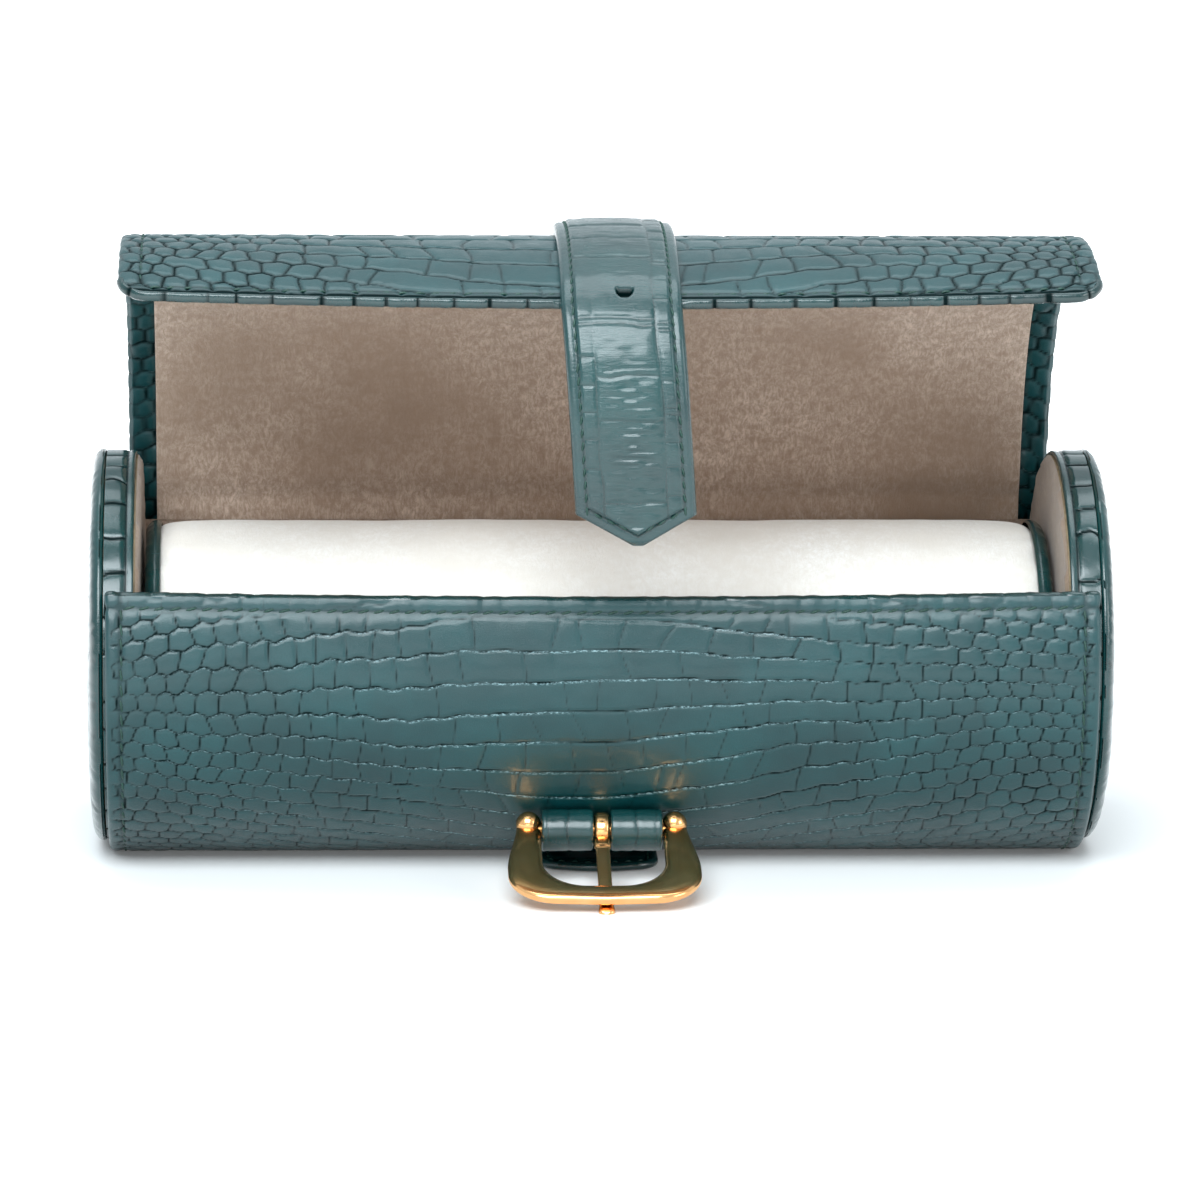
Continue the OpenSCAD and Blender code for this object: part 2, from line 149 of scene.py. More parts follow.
def in_space(x, yz):
    """Points from places x along the drum and places [y, z] across it."""
    return np.concatenate([np.broadcast_to(np.asarray(x)[..., None], yz.shape[:-1] + (1,)), yz], -1)


def cell_random(i, j, seed):
    """A number from 0 to 1 for each pair of whole numbers."""
    table = np.random.default_rng(seed).random((257, 263))
    return table[np.asarray(i, int) % 257, np.asarray(j, int) % 263]


def noise(x, y, seed):
    """Smooth noise from -1 to 1 with features one unit across."""
    i, j = np.floor(x), np.floor(y)
    fx, fy = smooth(x - i), smooth(y - j)
    low = cell_random(i, j, seed) * (1 - fx) + cell_random(i + 1, j, seed) * fx
    high = cell_random(i, j + 1, seed) * (1 - fx) + cell_random(i + 1, j + 1, seed) * fx
    return (low * (1 - fy) + high * fy) * 2 - 1


def nearest(values, to):
    """The place in a list of the value nearest to one given."""
    return int(np.argmin(np.abs(values - to)))


def steps(start, stop, step):
    """Evenly spaced numbers from start to stop, about a step apart."""
    return np.linspace(start, stop, max(2, int(round(abs(stop - start) / step)) + 1))


# ---------------------------------------------------------------- embossed scales

def scales(x, s, seed, pole, row_h, cell_w, calm=62.0, wave=1.0, puff=1.0, cut=1.0, line=1.0):
    """Embossed scales at x along the rows and s across them, in millimetres.

    row_h and cell_w are a row's height and a scale's width, in the middle and at the sides. The rows
    fan out from the line s = pole. Returns the relief in millimetres and four marks: how deep in a
    crease the point lies, which the leather also uses for painted crease shade, a tone for each scale,
    the row, and how strongly a pale painted highlight is laid along the row's crease edge.
    """
    middle = peak(x, 0, calm)
    height = row_h[1] + (row_h[0] - row_h[1]) * middle
    width = cell_w[1] + (cell_w[0] - cell_w[1]) * middle
    drift = wave * (2.8 * noise(x / 41, s / 34, seed) + 0.5 * noise(x / 14, s / 15, seed + 1))
    v = (s - pole + drift) / height
    span = np.linspace(-140, 140, 561)
    per_mm = 1 / (cell_w[1] + (cell_w[0] - cell_w[1]) * peak(span, 0, calm))
    u = np.interp(x, span, np.cumsum(per_mm) * (span[1] - span[0]))
    u = u + 0.3 * noise(x / 17, s / 11, seed + 2)
    near = np.round(v)
    zigzag = 1 - 4 * np.abs((u + 0.5 * near) % 1 - 0.5)
    v = v + (0.15 - 0.145 * middle) * zigzag * (1 - 2 * np.abs(v - near))
    row = np.floor(v)
    up = v - row
    loose = smooth(middle * 1.3)
    shift = 0.5 * row + cell_random(row, 7, seed + 3) * loose
    a = u + shift
    first = np.floor(a)
    across = np.full(x.shape, 1.0)
    tone = cell_random(row, first, seed + 4)
    for k in (-1, 0, 1, 2):
        j = first + k
        side = j + (cell_random(row, j, seed + 5) - 0.5) * 0.55 * loose
        side = side + (cell_random(row, j, seed + 6) - 0.5) * 0.45 * (up - 0.5)
        gone = cell_random(row, j, seed + 8) < 0.14 * loose
        across = np.where(gone, across, np.minimum(across, np.abs(a - side)))
    to_side = across * width + 0.02
    to_row = np.minimum(up, 1 - up) * height + 0.02
    to_edge = (to_side ** -3.0 + to_row ** -3.0) ** (-1 / 3)
    crease_w = (0.33 + 0.07 * (1 - middle)) * line
    across_line = (0.8 - 0.35 * middle) * peak(to_side, 0, crease_w)
    along_line = peak(to_row, 0, crease_w) * (0.75 + 0.25 * noise(x / 6.1, s / 9.0, seed + 9))
    deep = np.maximum(across_line, along_line)
    dome = 1 - np.exp(-to_edge / (0.7 + 0.5 * (1 - middle)))
    frayed = 0.5 + 0.5 * noise(x / 1.3, s / 1.1, seed + 10)
    rim = peak(to_row, 0.75, 0.35) * frayed * (0.4 + 0.6 * middle)
    relief = (0.1 + 0.1 * (1 - middle)) * dome * puff + 0.08 * rim - 0.22 * cut * deep
    relief = relief + 0.06 * noise(x / 4, s / 3, seed + 11)
    # Painted glint: how strongly pale highlight specks are painted along each row's crease edge.
    painted_glint = (0.3 + 0.7 * middle) * smooth(0.9 + 1.3 * noise(x / 19, s / 12, seed + 12))
    return relief, np.stack([deep, tone, v, painted_glint], -1)


# ---------------------------------------------------------------- meshes

def grid_normals(p):
    """Unit normals of a grid of points, on the side where columns turn to rows by the right hand."""
    return unit(np.cross(np.gradient(p, axis=1), np.gradient(p, axis=0)))


# deep also sets the painted shade in creases and grooves; painted_glint sets where pale painted highlights
# go.
MARKS = ("deep", "tone", "row", "painted_glint")


def plain_marks(shape, deep=0.0, tone=0.5):
    """Marks of a surface without rows."""
    marks = np.zeros((shape if isinstance(shape, tuple) else (shape,)) + (4,))
    marks[..., 0], marks[..., 1] = deep, tone
    return marks


def add_object(name, data):
    obj = bpy.data.objects.new(name, data)
    bpy.context.scene.collection.objects.link(obj)
    return obj


def lay_flat(mesh, flat):
    """Smooths a mesh, and keeps each point's place on the flat leather as its UV map."""
    corner = np.zeros(len(mesh.loops), np.int32)
    mesh.loops.foreach_get("vertex_index", corner)
    uv = (flat * MM)[corner].astype(np.float32).ravel()
    mesh.uv_layers.new(name="flat").data.foreach_set("uv", uv)
    mesh.polygons.foreach_set("use_smooth", [True] * len(mesh.polygons))


class Shape:
    """Collects grids and small solids, in millimetres, into one mesh."""

    def __init__(self):
        self.points, self.faces, self.slots, self.flat, self.marks = [], [], [], [], []
        self.count = 0

    def add(self, points, faces, slot, flat, marks):
        self.points.append(points)
        self.flat.append(flat)
        self.marks.append(marks)
        self.faces += [tuple(f) for f in (np.asarray(faces) + self.count).tolist()]
        self.slots += [slot] * len(faces)
        self.count += len(points)

    def grid(self, points, flat=None, marks=None, slot=0, flip=False, wrap=False):
        """Adds a grid of points. flat is each point's place on the flat leather."""
        rows, cols = points.shape[:2]
        flat = points[..., :2] if flat is None else flat
        marks = plain_marks((rows, cols)) if marks is None else marks
        index = np.arange(rows * cols).reshape(rows, cols)
        if wrap:
            index = np.concatenate([index, index[:, :1]], 1)
        corners = [index[:-1, :-1], index[:-1, 1:], index[1:, 1:], index[1:, :-1]]
        faces = np.stack(corners[::-1] if flip else corners, -1).reshape(-1, 4)
        self.add(points.reshape(-1, 3), faces, slot, flat.reshape(-1, 2), marks.reshape(-1, 4))

    def fan(self, ring, flip=False):
        """Closes a ring of points with triangles to its centre."""
        n = len(ring)
        points = np.concatenate([ring, [ring.mean(0)]])
        faces = [[i, (i + 1) % n, n] for i in range(n)]
        faces = [f[::-1] for f in faces] if flip else faces
        self.add(points, faces, 0, points[:, :2], plain_marks(n + 1))

    def build(self, name, materials):
        mesh = bpy.data.meshes.new(name)
        mesh.from_pydata((np.concatenate(self.points) * MM).tolist(), [], self.faces)
        mesh.polygons.foreach_set("material_index", self.slots)
        lay_flat(mesh, np.concatenate(self.flat))
        marks = np.concatenate(self.marks)
        for k, mark in enumerate(MARKS):
            layer = mesh.attributes.new(mark, "FLOAT", "POINT")
            layer.data.foreach_set("value", marks[:, k].astype(np.float32))
        for m in materials:
            mesh.materials.append(m)
        mesh.update()
        return add_object(name, mesh)


def sheet(name, material, points, flat, marks=None, **how):
    """One grid of points as a piece of its own."""
    shape = Shape()
    shape.grid(points, np.stack(flat, -1), marks, **how)
    return shape.build(name, [material])


STITCH_SUNK, STITCH_LIFT = 0.15, 0.12


def stitch_row(shape, path, normal, pitch=3.3, length=3.1, radius=0.28, slant=0.12, slot=1):
    """Lays sewn thread along a path of points, sunk a little into the surface."""
    along = lengths(path)
    middle = np.arange(pitch / 2, along[-1], pitch)

    def at(values, where):
        return np.stack([np.interp(where, along, values[:, k]) for k in range(3)], -1)

    centre, up = at(path, middle), unit(at(normal, middle))
    run = unit(at(path, middle + 0.3) - at(path, middle - 0.3))
    across = np.cross(up, run)
    run = unit(run + slant * across)
    across = np.cross(up, run)
    ring = np.radians(np.arange(0, 360, 60))
    for c, n, r, a in zip(centre, up, run, across):
        points = [c - r * length / 2 - n * STITCH_SUNK]
        for t in (-0.36, -0.15, 0.15, 0.36):
            thick = radius * math.sqrt(1 - (2 * t) ** 2 * 0.8)
            lift = STITCH_LIFT - 0.5 * (2 * t) ** 2
            points += [c + r * t * length + n * (thick * math.sin(q) + lift) + a * thick * math.cos(q)
                       for q in ring]
        points.append(c + r * length / 2 - n * STITCH_SUNK)
        faces = [[0, 1 + (i + 1) % 6, 1 + i] for i in range(6)]
        for k in range(3):
            b = 1 + 6 * k
            faces += [[b + i, b + (i + 1) % 6, b + 6 + (i + 1) % 6] for i in range(6)]
            faces += [[b + i, b + 6 + (i + 1) % 6, b + 6 + i] for i in range(6)]
        faces += [[19 + i, 19 + (i + 1) % 6, 25] for i in range(6)]
        points = np.array(points)
        shape.add(points, faces, slot, points[:, :2], plain_marks(len(points)))


# ---------------------------------------------------------------- materials

class Nodes:
    """The nodes of a material or a world, with a short way to add and join them."""

    def __init__(self, owner):
        owner.use_nodes = True
        self.owner, self.tree = owner, owner.node_tree
        self.shader = self.tree.nodes.get("Principled BSDF")

    def add(self, kind, inputs=(), **settings):
        node = self.tree.nodes.new("ShaderNode" + kind)
        for key, value in settings.items():
            setattr(node, key, value)
        for key, value in dict(inputs).items():
            self.put(node.inputs[key], value)
        return node

    def put(self, socket, value):
        if isinstance(value, bpy.types.NodeSocket):
            self.tree.links.new(value, socket)
        else:
            socket.default_value = value

    def flat(self, stretch=(1, 1, 1)):
        """Place on the flat leather, in millimetres, scaled."""
        uv = self.add("UVMap", uv_map="flat")
        scale = [f / MM for f in stretch]
        return self.add("VectorMath", {0: uv.outputs[0], 1: scale}, operation="MULTIPLY").outputs[0]

    def noise(self, where, scale, detail=3.0, rough=0.55):
        """Noise from 0 to 1 with features about 1 / scale millimetres across."""
        inputs = {"Vector": where, "Scale": scale, "Detail": detail, "Roughness": rough}
        return self.add("TexNoise", inputs).outputs["Fac"]

    def tinted_noise(self, where, scale):
        """Three noises at once, as a direction."""
        return self.add("TexNoise", {"Vector": where, "Scale": scale, "Detail": 2.0}).outputs["Color"]

    def mark(self, name):
        return self.add("Attribute", attribute_name=name, attribute_type="GEOMETRY").outputs["Fac"]

    def math(self, operation, *values):
        """One operation on all the values in turn."""
        total = values[0]
        for value in values[1:]:
            total = self.add("Math", {0: total, 1: value}, operation=operation).outputs[0]
        return total

    def product(self, *values):
        return self.math("MULTIPLY", *values)

    def painted_row_glints(self):
        """Painted highlight: broken pale specks along the upward-facing lower edge of each crease between
        two rows of scales, standing in for glints of light.
        """
        place = self.add("Math", {0: self.mark("row")}, operation="FRACT").outputs[0]
        edge = self.product(self.spread(place, 0.0, 0.02, 0.0, 1.0),
                            self.spread(place, 0.05, 0.1, 1.0, 0.0))
        specks = self.noise(self.flat((0.7, 1.5, 1)), 1.5, 4.0, 0.75)
        return self.product(edge, self.spread(specks, 0.47, 0.62, 0.0, 0.8), self.mark("painted_glint"))

    def spread(self, value, low, high, to_low, to_high):
        inputs = {0: value, 1: low, 2: high, 3: to_low, 4: to_high}
        return self.add("MapRange", inputs).outputs[0]

    def mix(self, share, a, b):
        node = self.add("Mix", data_type="RGBA")
        self.put(node.inputs[0], share)
        self.put(node.inputs[6], a)
        self.put(node.inputs[7], b)
        return node.outputs[2]

    def bump(self, height, strength, distance, normal=None):
        inputs = {"Height": height, "Strength": strength, "Distance": distance * MM}
        if normal is not None:
            inputs["Normal"] = normal
        return self.add("Bump", inputs).outputs[0]

    def set(self, **values):
        for key, value in values.items():
            self.put(self.shader.inputs[key.replace("_", " ")], value)
        return self.owner


def rgb(r, g, b):
    """A colour as it shows on a screen, from 0 to 255, turned to linear light."""
    def linear(c):
        c = c / 255
        return c / 12.92 if c <= 0.04045 else ((c + 0.055) / 1.055) ** 2.4
    return (linear(r), linear(g), linear(b), 1.0)


# Pale colour of the painted highlights along the crease edges.
PAINTED_GLINT_COLOUR = rgb(150, 184, 190)


def leather(name, light, dark, crease, rough=0.36, grain=1.0, wrinkles=0.0, polish=0.25):
    """Polished embossed leather, varied from scale to scale, with painted shade darkening its creases."""
    n = Nodes(bpy.data.materials.new(name))
    where = n.flat()
    cloudy = n.noise(where, 0.045, 4.0)
    body = n.mix(n.spread(cloudy, 0.35, 0.68, 0.0, 1.0), light, dark)
    body = n.mix(n.spread(n.mark("tone"), 0.0, 1.0, 0.0, 0.35), body, dark)
    speck = n.noise(where, 2.6, 5.0, 0.7)
    body = n.mix(n.spread(speck, 0.35, 0.7, 0.0, 0.55), body, dark)
    # Painted shade: the colour runs to the near-black crease colour where the mark deep says a crease or
    # groove lies.
    body = n.mix(n.spread(n.mark("deep"), 0.15, 0.65, 0.0, 0.95), body, crease)
    # Painted highlight: pale specks mixed into the colour along the crease edges.
    body = n.mix(n.painted_row_glints(), body, PAINTED_GLINT_COLOUR)
    fine = n.noise(where, 3.2, 6.0, 0.65)
    near = n.spread(n.mark("deep"), 0.02, 0.45, 0.55 * grain, 1.0)
    height = n.bump(fine, near, 0.08)
    pores = n.add("TexVoronoi", {"Vector": where, "Scale": 1.9}, feature="DISTANCE_TO_EDGE").outputs[0]
    height = n.bump(n.spread(pores, 0.0, 0.16, 0.0, 1.0), 0.3 * grain, 0.035, height)
    if wrinkles:
        lines = n.noise(n.flat((0.28, 1.5, 1)), 1.0, 4.0, 0.6)
        height = n.bump(lines, wrinkles, 0.22, height)
    shine = n.spread(n.noise(where, 0.35, 5.0, 0.6), 0.3, 0.7, rough - 0.07, rough + 0.09)
    shine = n.math("ADD", shine, n.spread(n.mark("deep"), 0.4, 1.0, 0.0, 0.2))
    gloss = n.spread(n.mark("deep"), 0.25, 0.7, 0.42, 0.04)
    coat = n.spread(n.mark("deep"), 0.25, 0.7, polish, 0.0)
    return n.set(Base_Color=body, Roughness=shine, Normal=height, Specular_IOR_Level=gloss,
                 Coat_Weight=coat, Coat_Roughness=0.16)


def suede(name, light, dark, shade, patch=0.02, nap=1.0):
    """Brushed suede with a cloudy nap."""
    n = Nodes(bpy.data.materials.new(name))
    where = n.flat()
    cloudy = n.noise(where, patch, 4.0, 0.5)
    body = n.mix(n.spread(cloudy, 0.3, 0.7, 0.0, 1.0), light, dark)
    mottle = n.noise(where, 0.4, 5.0, 0.7)
    body = n.mix(n.spread(mottle, 0.42, 0.62, 0.0, 0.5 * nap), body, dark)
    lean = n.add("VectorMath", {0: n.tinted_noise(where, 0.16), 1: (5.0, 5.0, 0)}, operation="MULTIPLY")
    combed = n.add("VectorMath", {0: n.flat((1.7, 0.7, 1)), 1: lean.outputs[0]}).outputs[0]
    fibre = n.noise(combed, 0.9, 6.0, 0.8)
    body = n.mix(n.spread(fibre, 0.42, 0.6, 0.0, 0.6 * nap), body, dark)
    body = n.mix(n.spread(n.mark("deep"), 0.1, 1.0, 0.0, 0.85), body, shade)
    height = n.bump(fibre, 0.8 * nap, 0.25)
    height = n.bump(n.noise(where, 3.0, 6.0, 0.8), 0.5 * nap, 0.12, height)
    rough = n.spread(fibre, 0.3, 0.7, 0.86, 0.98)
    return n.set(Base_Color=body, Roughness=rough, Normal=height, Specular_IOR_Level=0.15,
                 Sheen_Weight=0.35, Sheen_Roughness=0.5)


def metal(name, light, dark):
    """Polished plating with the faintest hairlines."""
    n = Nodes(bpy.data.materials.new(name))
    where = n.add("TexCoord").outputs["Object"]
    cloudy = n.noise(where, 180.0, 3.0)
    fine = n.noise(where, 2200.0, 4.0, 0.7)
    body = n.mix(n.spread(cloudy, 0.3, 0.7, 0.0, 1.0), light, dark)
    rough = n.spread(fine, 0.3, 0.7, 0.12, 0.2)
    height = n.bump(cloudy, 0.08, 0.1)
    return n.set(Base_Color=body, Metallic=1.0, Roughness=rough, Normal=height)


def plain(name, light, dark, rough=0.8, scale=600.0):
    """Thread, board and foam, which are matt and slightly mottled."""
    n = Nodes(bpy.data.materials.new(name))
    where = n.add("TexCoord").outputs["Object"]
    mottle = n.noise(where, scale, 5.0, 0.7)
    body = n.mix(n.spread(mottle, 0.35, 0.65, 0.0, 1.0), light, dark)
    return n.set(Base_Color=body, Roughness=n.spread(mottle, 0.3, 0.7, rough - 0.08, rough + 0.08),
                 Normal=n.bump(mottle, 0.4, 0.1))


TEAL = rgb(8, 67, 70)
DEEP_TEAL = rgb(3, 49, 52)
# Near-black painted shade for the leather's creases and grooves.
CREASE_SHADE = rgb(1, 16, 17)
EMBOSSED = leather("embossed_leather", TEAL, DEEP_TEAL, CREASE_SHADE)
CAPS = leather("cap_leather", rgb(6, 62, 62), rgb(2, 42, 43), CREASE_SHADE, rough=0.19, polish=0.5)
STRAP_LEATHER = leather("strap_leather", rgb(5, 66, 66), rgb(2, 44, 46), CREASE_SHADE, rough=0.19,
                        wrinkles=0.8, polish=0.5)
EDGE_LEATHER = leather("edge_leather", rgb(5, 58, 58), rgb(2, 38, 39), CREASE_SHADE, rough=0.15, polish=0.5)
THREAD = plain("thread", rgb(16, 66, 54), rgb(6, 38, 32), 0.5, 2500.0)
LINING = suede("suede_lining", rgb(232, 211, 195), rgb(163, 137, 117), rgb(96, 78, 62), nap=1.4)
PLEATED = suede("pleated_suede", rgb(166, 146, 126), rgb(132, 110, 92), rgb(40, 34, 28), patch=0.06)
CREAM = suede("cream_suede", rgb(251, 249, 246), rgb(234, 228, 220), rgb(180, 168, 150), patch=0.05,
              nap=1.1)
# Painted shade: a darker copy of the gold plate for the heel bar, whose stub shows in the loop's shade.
SHADED_GOLD = metal("shaded_gold_plate", rgb(150, 108, 62), rgb(116, 80, 44))
GOLD = metal("gold_plate", rgb(246, 190, 132), rgb(236, 172, 108))
BOARD = plain("board", rgb(146, 128, 100), rgb(120, 102, 78), 0.85)


# ---------------------------------------------------------------- drum

def drum_point(angle, r):
    """[y, z] at an angle in degrees round the drum, counted from the front over the top."""
    a = np.radians(angle)
    return np.stack([-r * np.cos(a), AXIS_Z + r * np.sin(a)], -1)


def rolled_ends(half, roll, step, full):
    """x positions across a wall whose two ends are rolled in, and how far each is inset."""
    turn = np.radians([22.5, 45, 67.5, 90])
    out = half - roll + roll * np.sin(turn)
    drop = roll * (1 - np.cos(turn))
    middle = steps(-half + roll, half - roll, step)
    x = np.concatenate([[-half], -out[::-1], middle, out, [half]])
    inset = np.concatenate([[full], drop[::-1], np.zeros(len(middle)), drop, [full]])
    return x, inset


END_SEAM, LIP_SEAM, SEWN_TO = 3.2, 2.6, 88
WALL_PATTERN = dict(seed=11, pole=24.0, row_h=(7.6, 3.3), cell_w=(9.0, 4.2), wave=1.4, line=0.8)


def wall_relief(x, s):
    """Scales of the wall, calmer at its rolled lip and sewn ends."""
    relief, marks = scales(x, s, **WALL_PATTERN)
    from_end = HALF_LEN - np.abs(x)
    sewn = peak(from_end, END_SEAM, 0.8) + peak(s, LIP_SEAM, 0.7)
    keep = smooth((from_end - 0.4) / 1.6) * (0.45 + 0.55 * smooth((s - 3.0) / 2.0))
    sewn = np.clip(sewn, 0, 1)
    marks[..., 0] = np.maximum(marks[..., 0] * keep, 0.4 * sewn)
    marks[..., 3] *= smooth((s - 4) / 3) * smooth((from_end - 4) / 3)
    lip = 0.1 * noise(x / 2.1, 0 * s, 15) * smooth(1.5 - s / 2)
    return relief * keep - 0.2 * sewn + lip - 0.12 * smooth(s / 3), marks


def wall_grid(shape, x, inset, outline, s, flip, sag=0.0, lip=False):
    """Adds a wall from an outline that says where a row lies for an inset. Its lip may sag."""
    base = in_space(x, np.zeros((len(s), len(x), 2)))
    for c, i in enumerate(inset):
        turn = sag / WALL_R * (1 - (x[c] / HALF_LEN) ** 2) * smooth(1 - s / 35)
        y, z = outline(i).T - np.array([[0], [AXIS_Z]])
        base[:, c, 1] = y * np.cos(turn) - z * np.sin(turn)
        base[:, c, 2] = y * np.sin(turn) + z * np.cos(turn) + AXIS_Z
    normal = grid_normals(base) * (-1 if flip else 1)
    xx, ss = np.meshgrid(x, s)
    relief, marks = wall_relief(xx, ss)
    points = base + normal * relief[..., None]
    points[..., 2] = np.maximum(points[..., 2], 0.02)
    flat = np.stack([xx, ss], -1)
    body = np.nonzero(s >= 0)[0] if lip else np.arange(len(s))
    shape.grid(points[body], flat[body], marks[body], flip=flip)
    if lip:
        rolled = np.arange(body[-1], len(s))
        shape.grid(points[rolled], flat[rolled], marks[rolled], slot=2, flip=flip)
    return points, normal


UNDER_ANGLE = -96.0


def front_wall():
    """The front half of the wall, with its rolled lip."""
    angles = steps(UNDER_ANGLE, LIP_ANGLE, math.degrees(0.5 / WALL_R))
    around = np.radians(np.linspace(0, 180, 11))[1:]
    inner = np.linspace(LIP_ANGLE, LIP_ANGLE - 5, 4)[1:]
    s = np.concatenate([np.radians(LIP_ANGLE - angles) * WALL_R, -LIP_R * around,
                        -LIP_R * math.pi - np.radians(LIP_ANGLE - inner) * BOARD_IN_R])
    lip = drum_point(LIP_ANGLE, WALL_R - LIP_R)
    out = drum_point(LIP_ANGLE, 1.0) - [0, AXIS_Z]
    up = np.array([out[1], -out[0]])

    def outline(i):
        near_lip = smooth(s[:len(angles)] / 4)
        small = min(i, LIP_R - 0.05)
        outer = drum_point(angles, WALL_R - (small + (i - small) * near_lip))
        roll = LIP_R - small
        bead = lip + roll * (np.cos(around)[:, None] * out + np.sin(around)[:, None] * up)
        return np.concatenate([outer, bead, drum_point(inner, BOARD_IN_R + small)])

    shape = Shape()
    x, inset = rolled_ends(HALF_LEN + 0.05, 1.0, 0.5, 2 * LIP_R)
    points, normal = wall_grid(shape, x, inset, outline, s, False, sag=1.2, lip=True)
    row = nearest(s, LIP_SEAM)
    inside = np.abs(points[row, :, 0]) < HALF_LEN - 3.4
    stitch_row(shape, points[row, inside], normal[row, inside], slant=0.3)
    rows = (s > LIP_SEAM) & (s < SEWN_TO)
    for side in (-1, 1):
        col = nearest(x, side * (HALF_LEN - END_SEAM))
        stitch_row(shape, points[rows, col], normal[rows, col])
    return shape.build("wall_front_leather", [EMBOSSED, THREAD, EDGE_LEATHER])


HINGE = FLEXES[0]
HINGE_ANGLE = 180 - math.degrees(math.atan2(HINGE[1] - AXIS_Z, HINGE[0]))
HINGE_REACH = 9.0


def back_wall():
    """The back half of the wall, with two narrow strips that run on beside the lid."""
    shape = Shape()
    x, inset = rolled_ends(HALF_LEN + 0.05, 1.0, 0.55, 2 * LIP_R)
    top = HINGE_ANGLE + math.degrees(HINGE_REACH / WALL_R)
    step = math.degrees(0.55 / WALL_R)
    angles = steps(UNDER_ANGLE, top - 360, step)
    s = np.radians(LIP_ANGLE - angles) * WALL_R
    points, normal = wall_grid(shape, x, inset, lambda i: drum_point(angles, WALL_R - i), s, True)
    for side in (-1, 1):
        col = nearest(x, side * (HALF_LEN - END_SEAM))
        stitch_row(shape, points[:, col], normal[:, col])
    last = HINGE_ANGLE + math.degrees(1.0 / WALL_R)
    strip = np.concatenate([steps(top - 360, last - 360, step), [last - 360]])
    sunk = np.concatenate([np.zeros(len(strip) - 1), [2 * LIP_R]])
    s_strip = np.radians(LIP_ANGLE - strip) * WALL_R
    for side in (-1, 1):
        keep = x * side > LID_HALF + 0.4
        beside, turned = [side * (LID_HALF + 0.3)] * 2, [2 * LIP_R, 0]
        cut = np.concatenate([beside, x[keep]] if side > 0 else [x[keep], beside])
        depth = np.concatenate([turned, inset[keep]] if side > 0 else [inset[keep], turned[::-1]])
        wall_grid(shape, cut, depth, lambda i: drum_point(strip, WALL_R - np.maximum(sunk, i)),
                  s_strip, True)
    return shape.build("wall_back_leather", [EMBOSSED, THREAD])


def drum_lining():
    """Padded suede inside the drum, with a rounded edge below the lip."""
    edge = LINING_T / 2
    top = LIP_ANGLE - 4 - math.degrees(edge / LINING_R)
    back = HINGE_ANGLE + math.degrees(HINGE_REACH / WALL_R) - 360
    tuck = math.degrees(2.5 / WALL_R)
    angles = steps(back, top, 1.2 / LINING_R * 180 / math.pi)
    around = np.radians(np.linspace(0, 180, 9))[1:]
    out = -(drum_point(top, 1.0) - [0, AXIS_Z])
    up = -np.array([out[1], -out[0]])
    centre = drum_point(top, LINING_R + edge)
    bead = centre + edge * (np.cos(around)[:, None] * out + np.sin(around)[:, None] * up)
    tail = drum_point(np.array([top - 2]), BOARD_IN_R - 0.05)
    profile = np.concatenate([drum_point(np.array([back - tuck, back - tuck * 0.1]), LINING_R + 0.4),
                              drum_point(angles, LINING_R), bead, tail])
    x = steps(-FACE_X + 0.1, FACE_X - 0.1, 1.6)
    xx, ss = np.meshgrid(x, lengths(profile))
    base = in_space(xx, np.repeat(profile[:, None], len(x), 1))
    normal = -grid_normals(base)
    puff = 0.18 * noise(xx / 17, ss / 13, 71) + 0.07 * noise(xx / 5, ss / 5, 72)
    puff = (puff - 0.1) * smooth((ss - 3) / 5)
    return sheet("wall_lining_suede", LINING, base + normal * puff[..., None], (xx, ss), flip=True)


# ---------------------------------------------------------------- end caps

def dished(outline, step):
    """A turned face as a grid: rows run out along the outline, columns round it."""
    radius = outline[:, 1]
    count = int(2 * math.pi * radius.max() / step)
    turn = np.linspace(0, 2 * math.pi, count, endpoint=False)
    y = radius[:, None] * np.cos(turn)
    z = radius[:, None] * np.sin(turn)
    x = np.repeat(outline[:, :1], count, 1)
    return np.stack([x, y, z], -1), turn


def turned_leather(name, outline, centre_z, seed, side, material, pleat=0.12, rim=6.5, pattern=None):
    """A leather-covered disc about the drum's length, with radial creases at its rolled rim."""
    outline = np.asarray(outline, float)
    p = dished(outline, 0.55)[0]
    normal = -grid_normals(np.concatenate([p, p[:, :1]], 1))[:, :-1]
    y, z = p[..., 1], p[..., 2]
    r = np.hypot(y, z)
    largest = r.max()
    kind = dict(seed=seed, pole=0.0, row_h=(6.4, 4.0), cell_w=(7.6, 4.8), calm=30.0, wave=0.8)
    kind.update(pattern or {})
    relief, marks = scales(y, z, **kind)
    along = lengths(outline)
    from_rim = (along[np.argmax(outline[:, 1])] - along)[:, None]
    face = smooth((from_rim - rim + 1.5) / 2.5) * smooth((from_rim - 2) / 2)
    angle = np.arctan2(z, y)
    wander = 0.012 * noise(angle * 9, from_rim / 3 + 0 * angle, seed + 20)
    ridge = noise((angle + wander) * largest / 1.15, 0 * angle + 0.37, seed + 21)
    fold = np.clip(ridge, -1, 1) * smooth(from_rim / 1.5)
    fold = fold + 0.4 * noise(angle * largest / 4, from_rim / 4, seed + 22)
    relief = relief * face + (1 - face) * pleat * fold
    marks[..., 0] = marks[..., 0] * face + (1 - face) * np.clip(-fold * 0.55, 0, 0.6)
    marks[..., 3] *= face
    points = p + normal * relief[..., None]
    points[..., 0] *= side
    points[..., 2] += centre_z
    return sheet(name, material, points, (y, z), marks, flip=side > 0, wrap=True)


def arc(cx, cr, r, start, stop, n):
    """Points on an arc in the plane of [x, radius], in degrees from +X."""
    a = np.radians(np.linspace(start, stop, n))
    return np.stack([cx + r * np.cos(a), cr + r * np.sin(a)], -1)


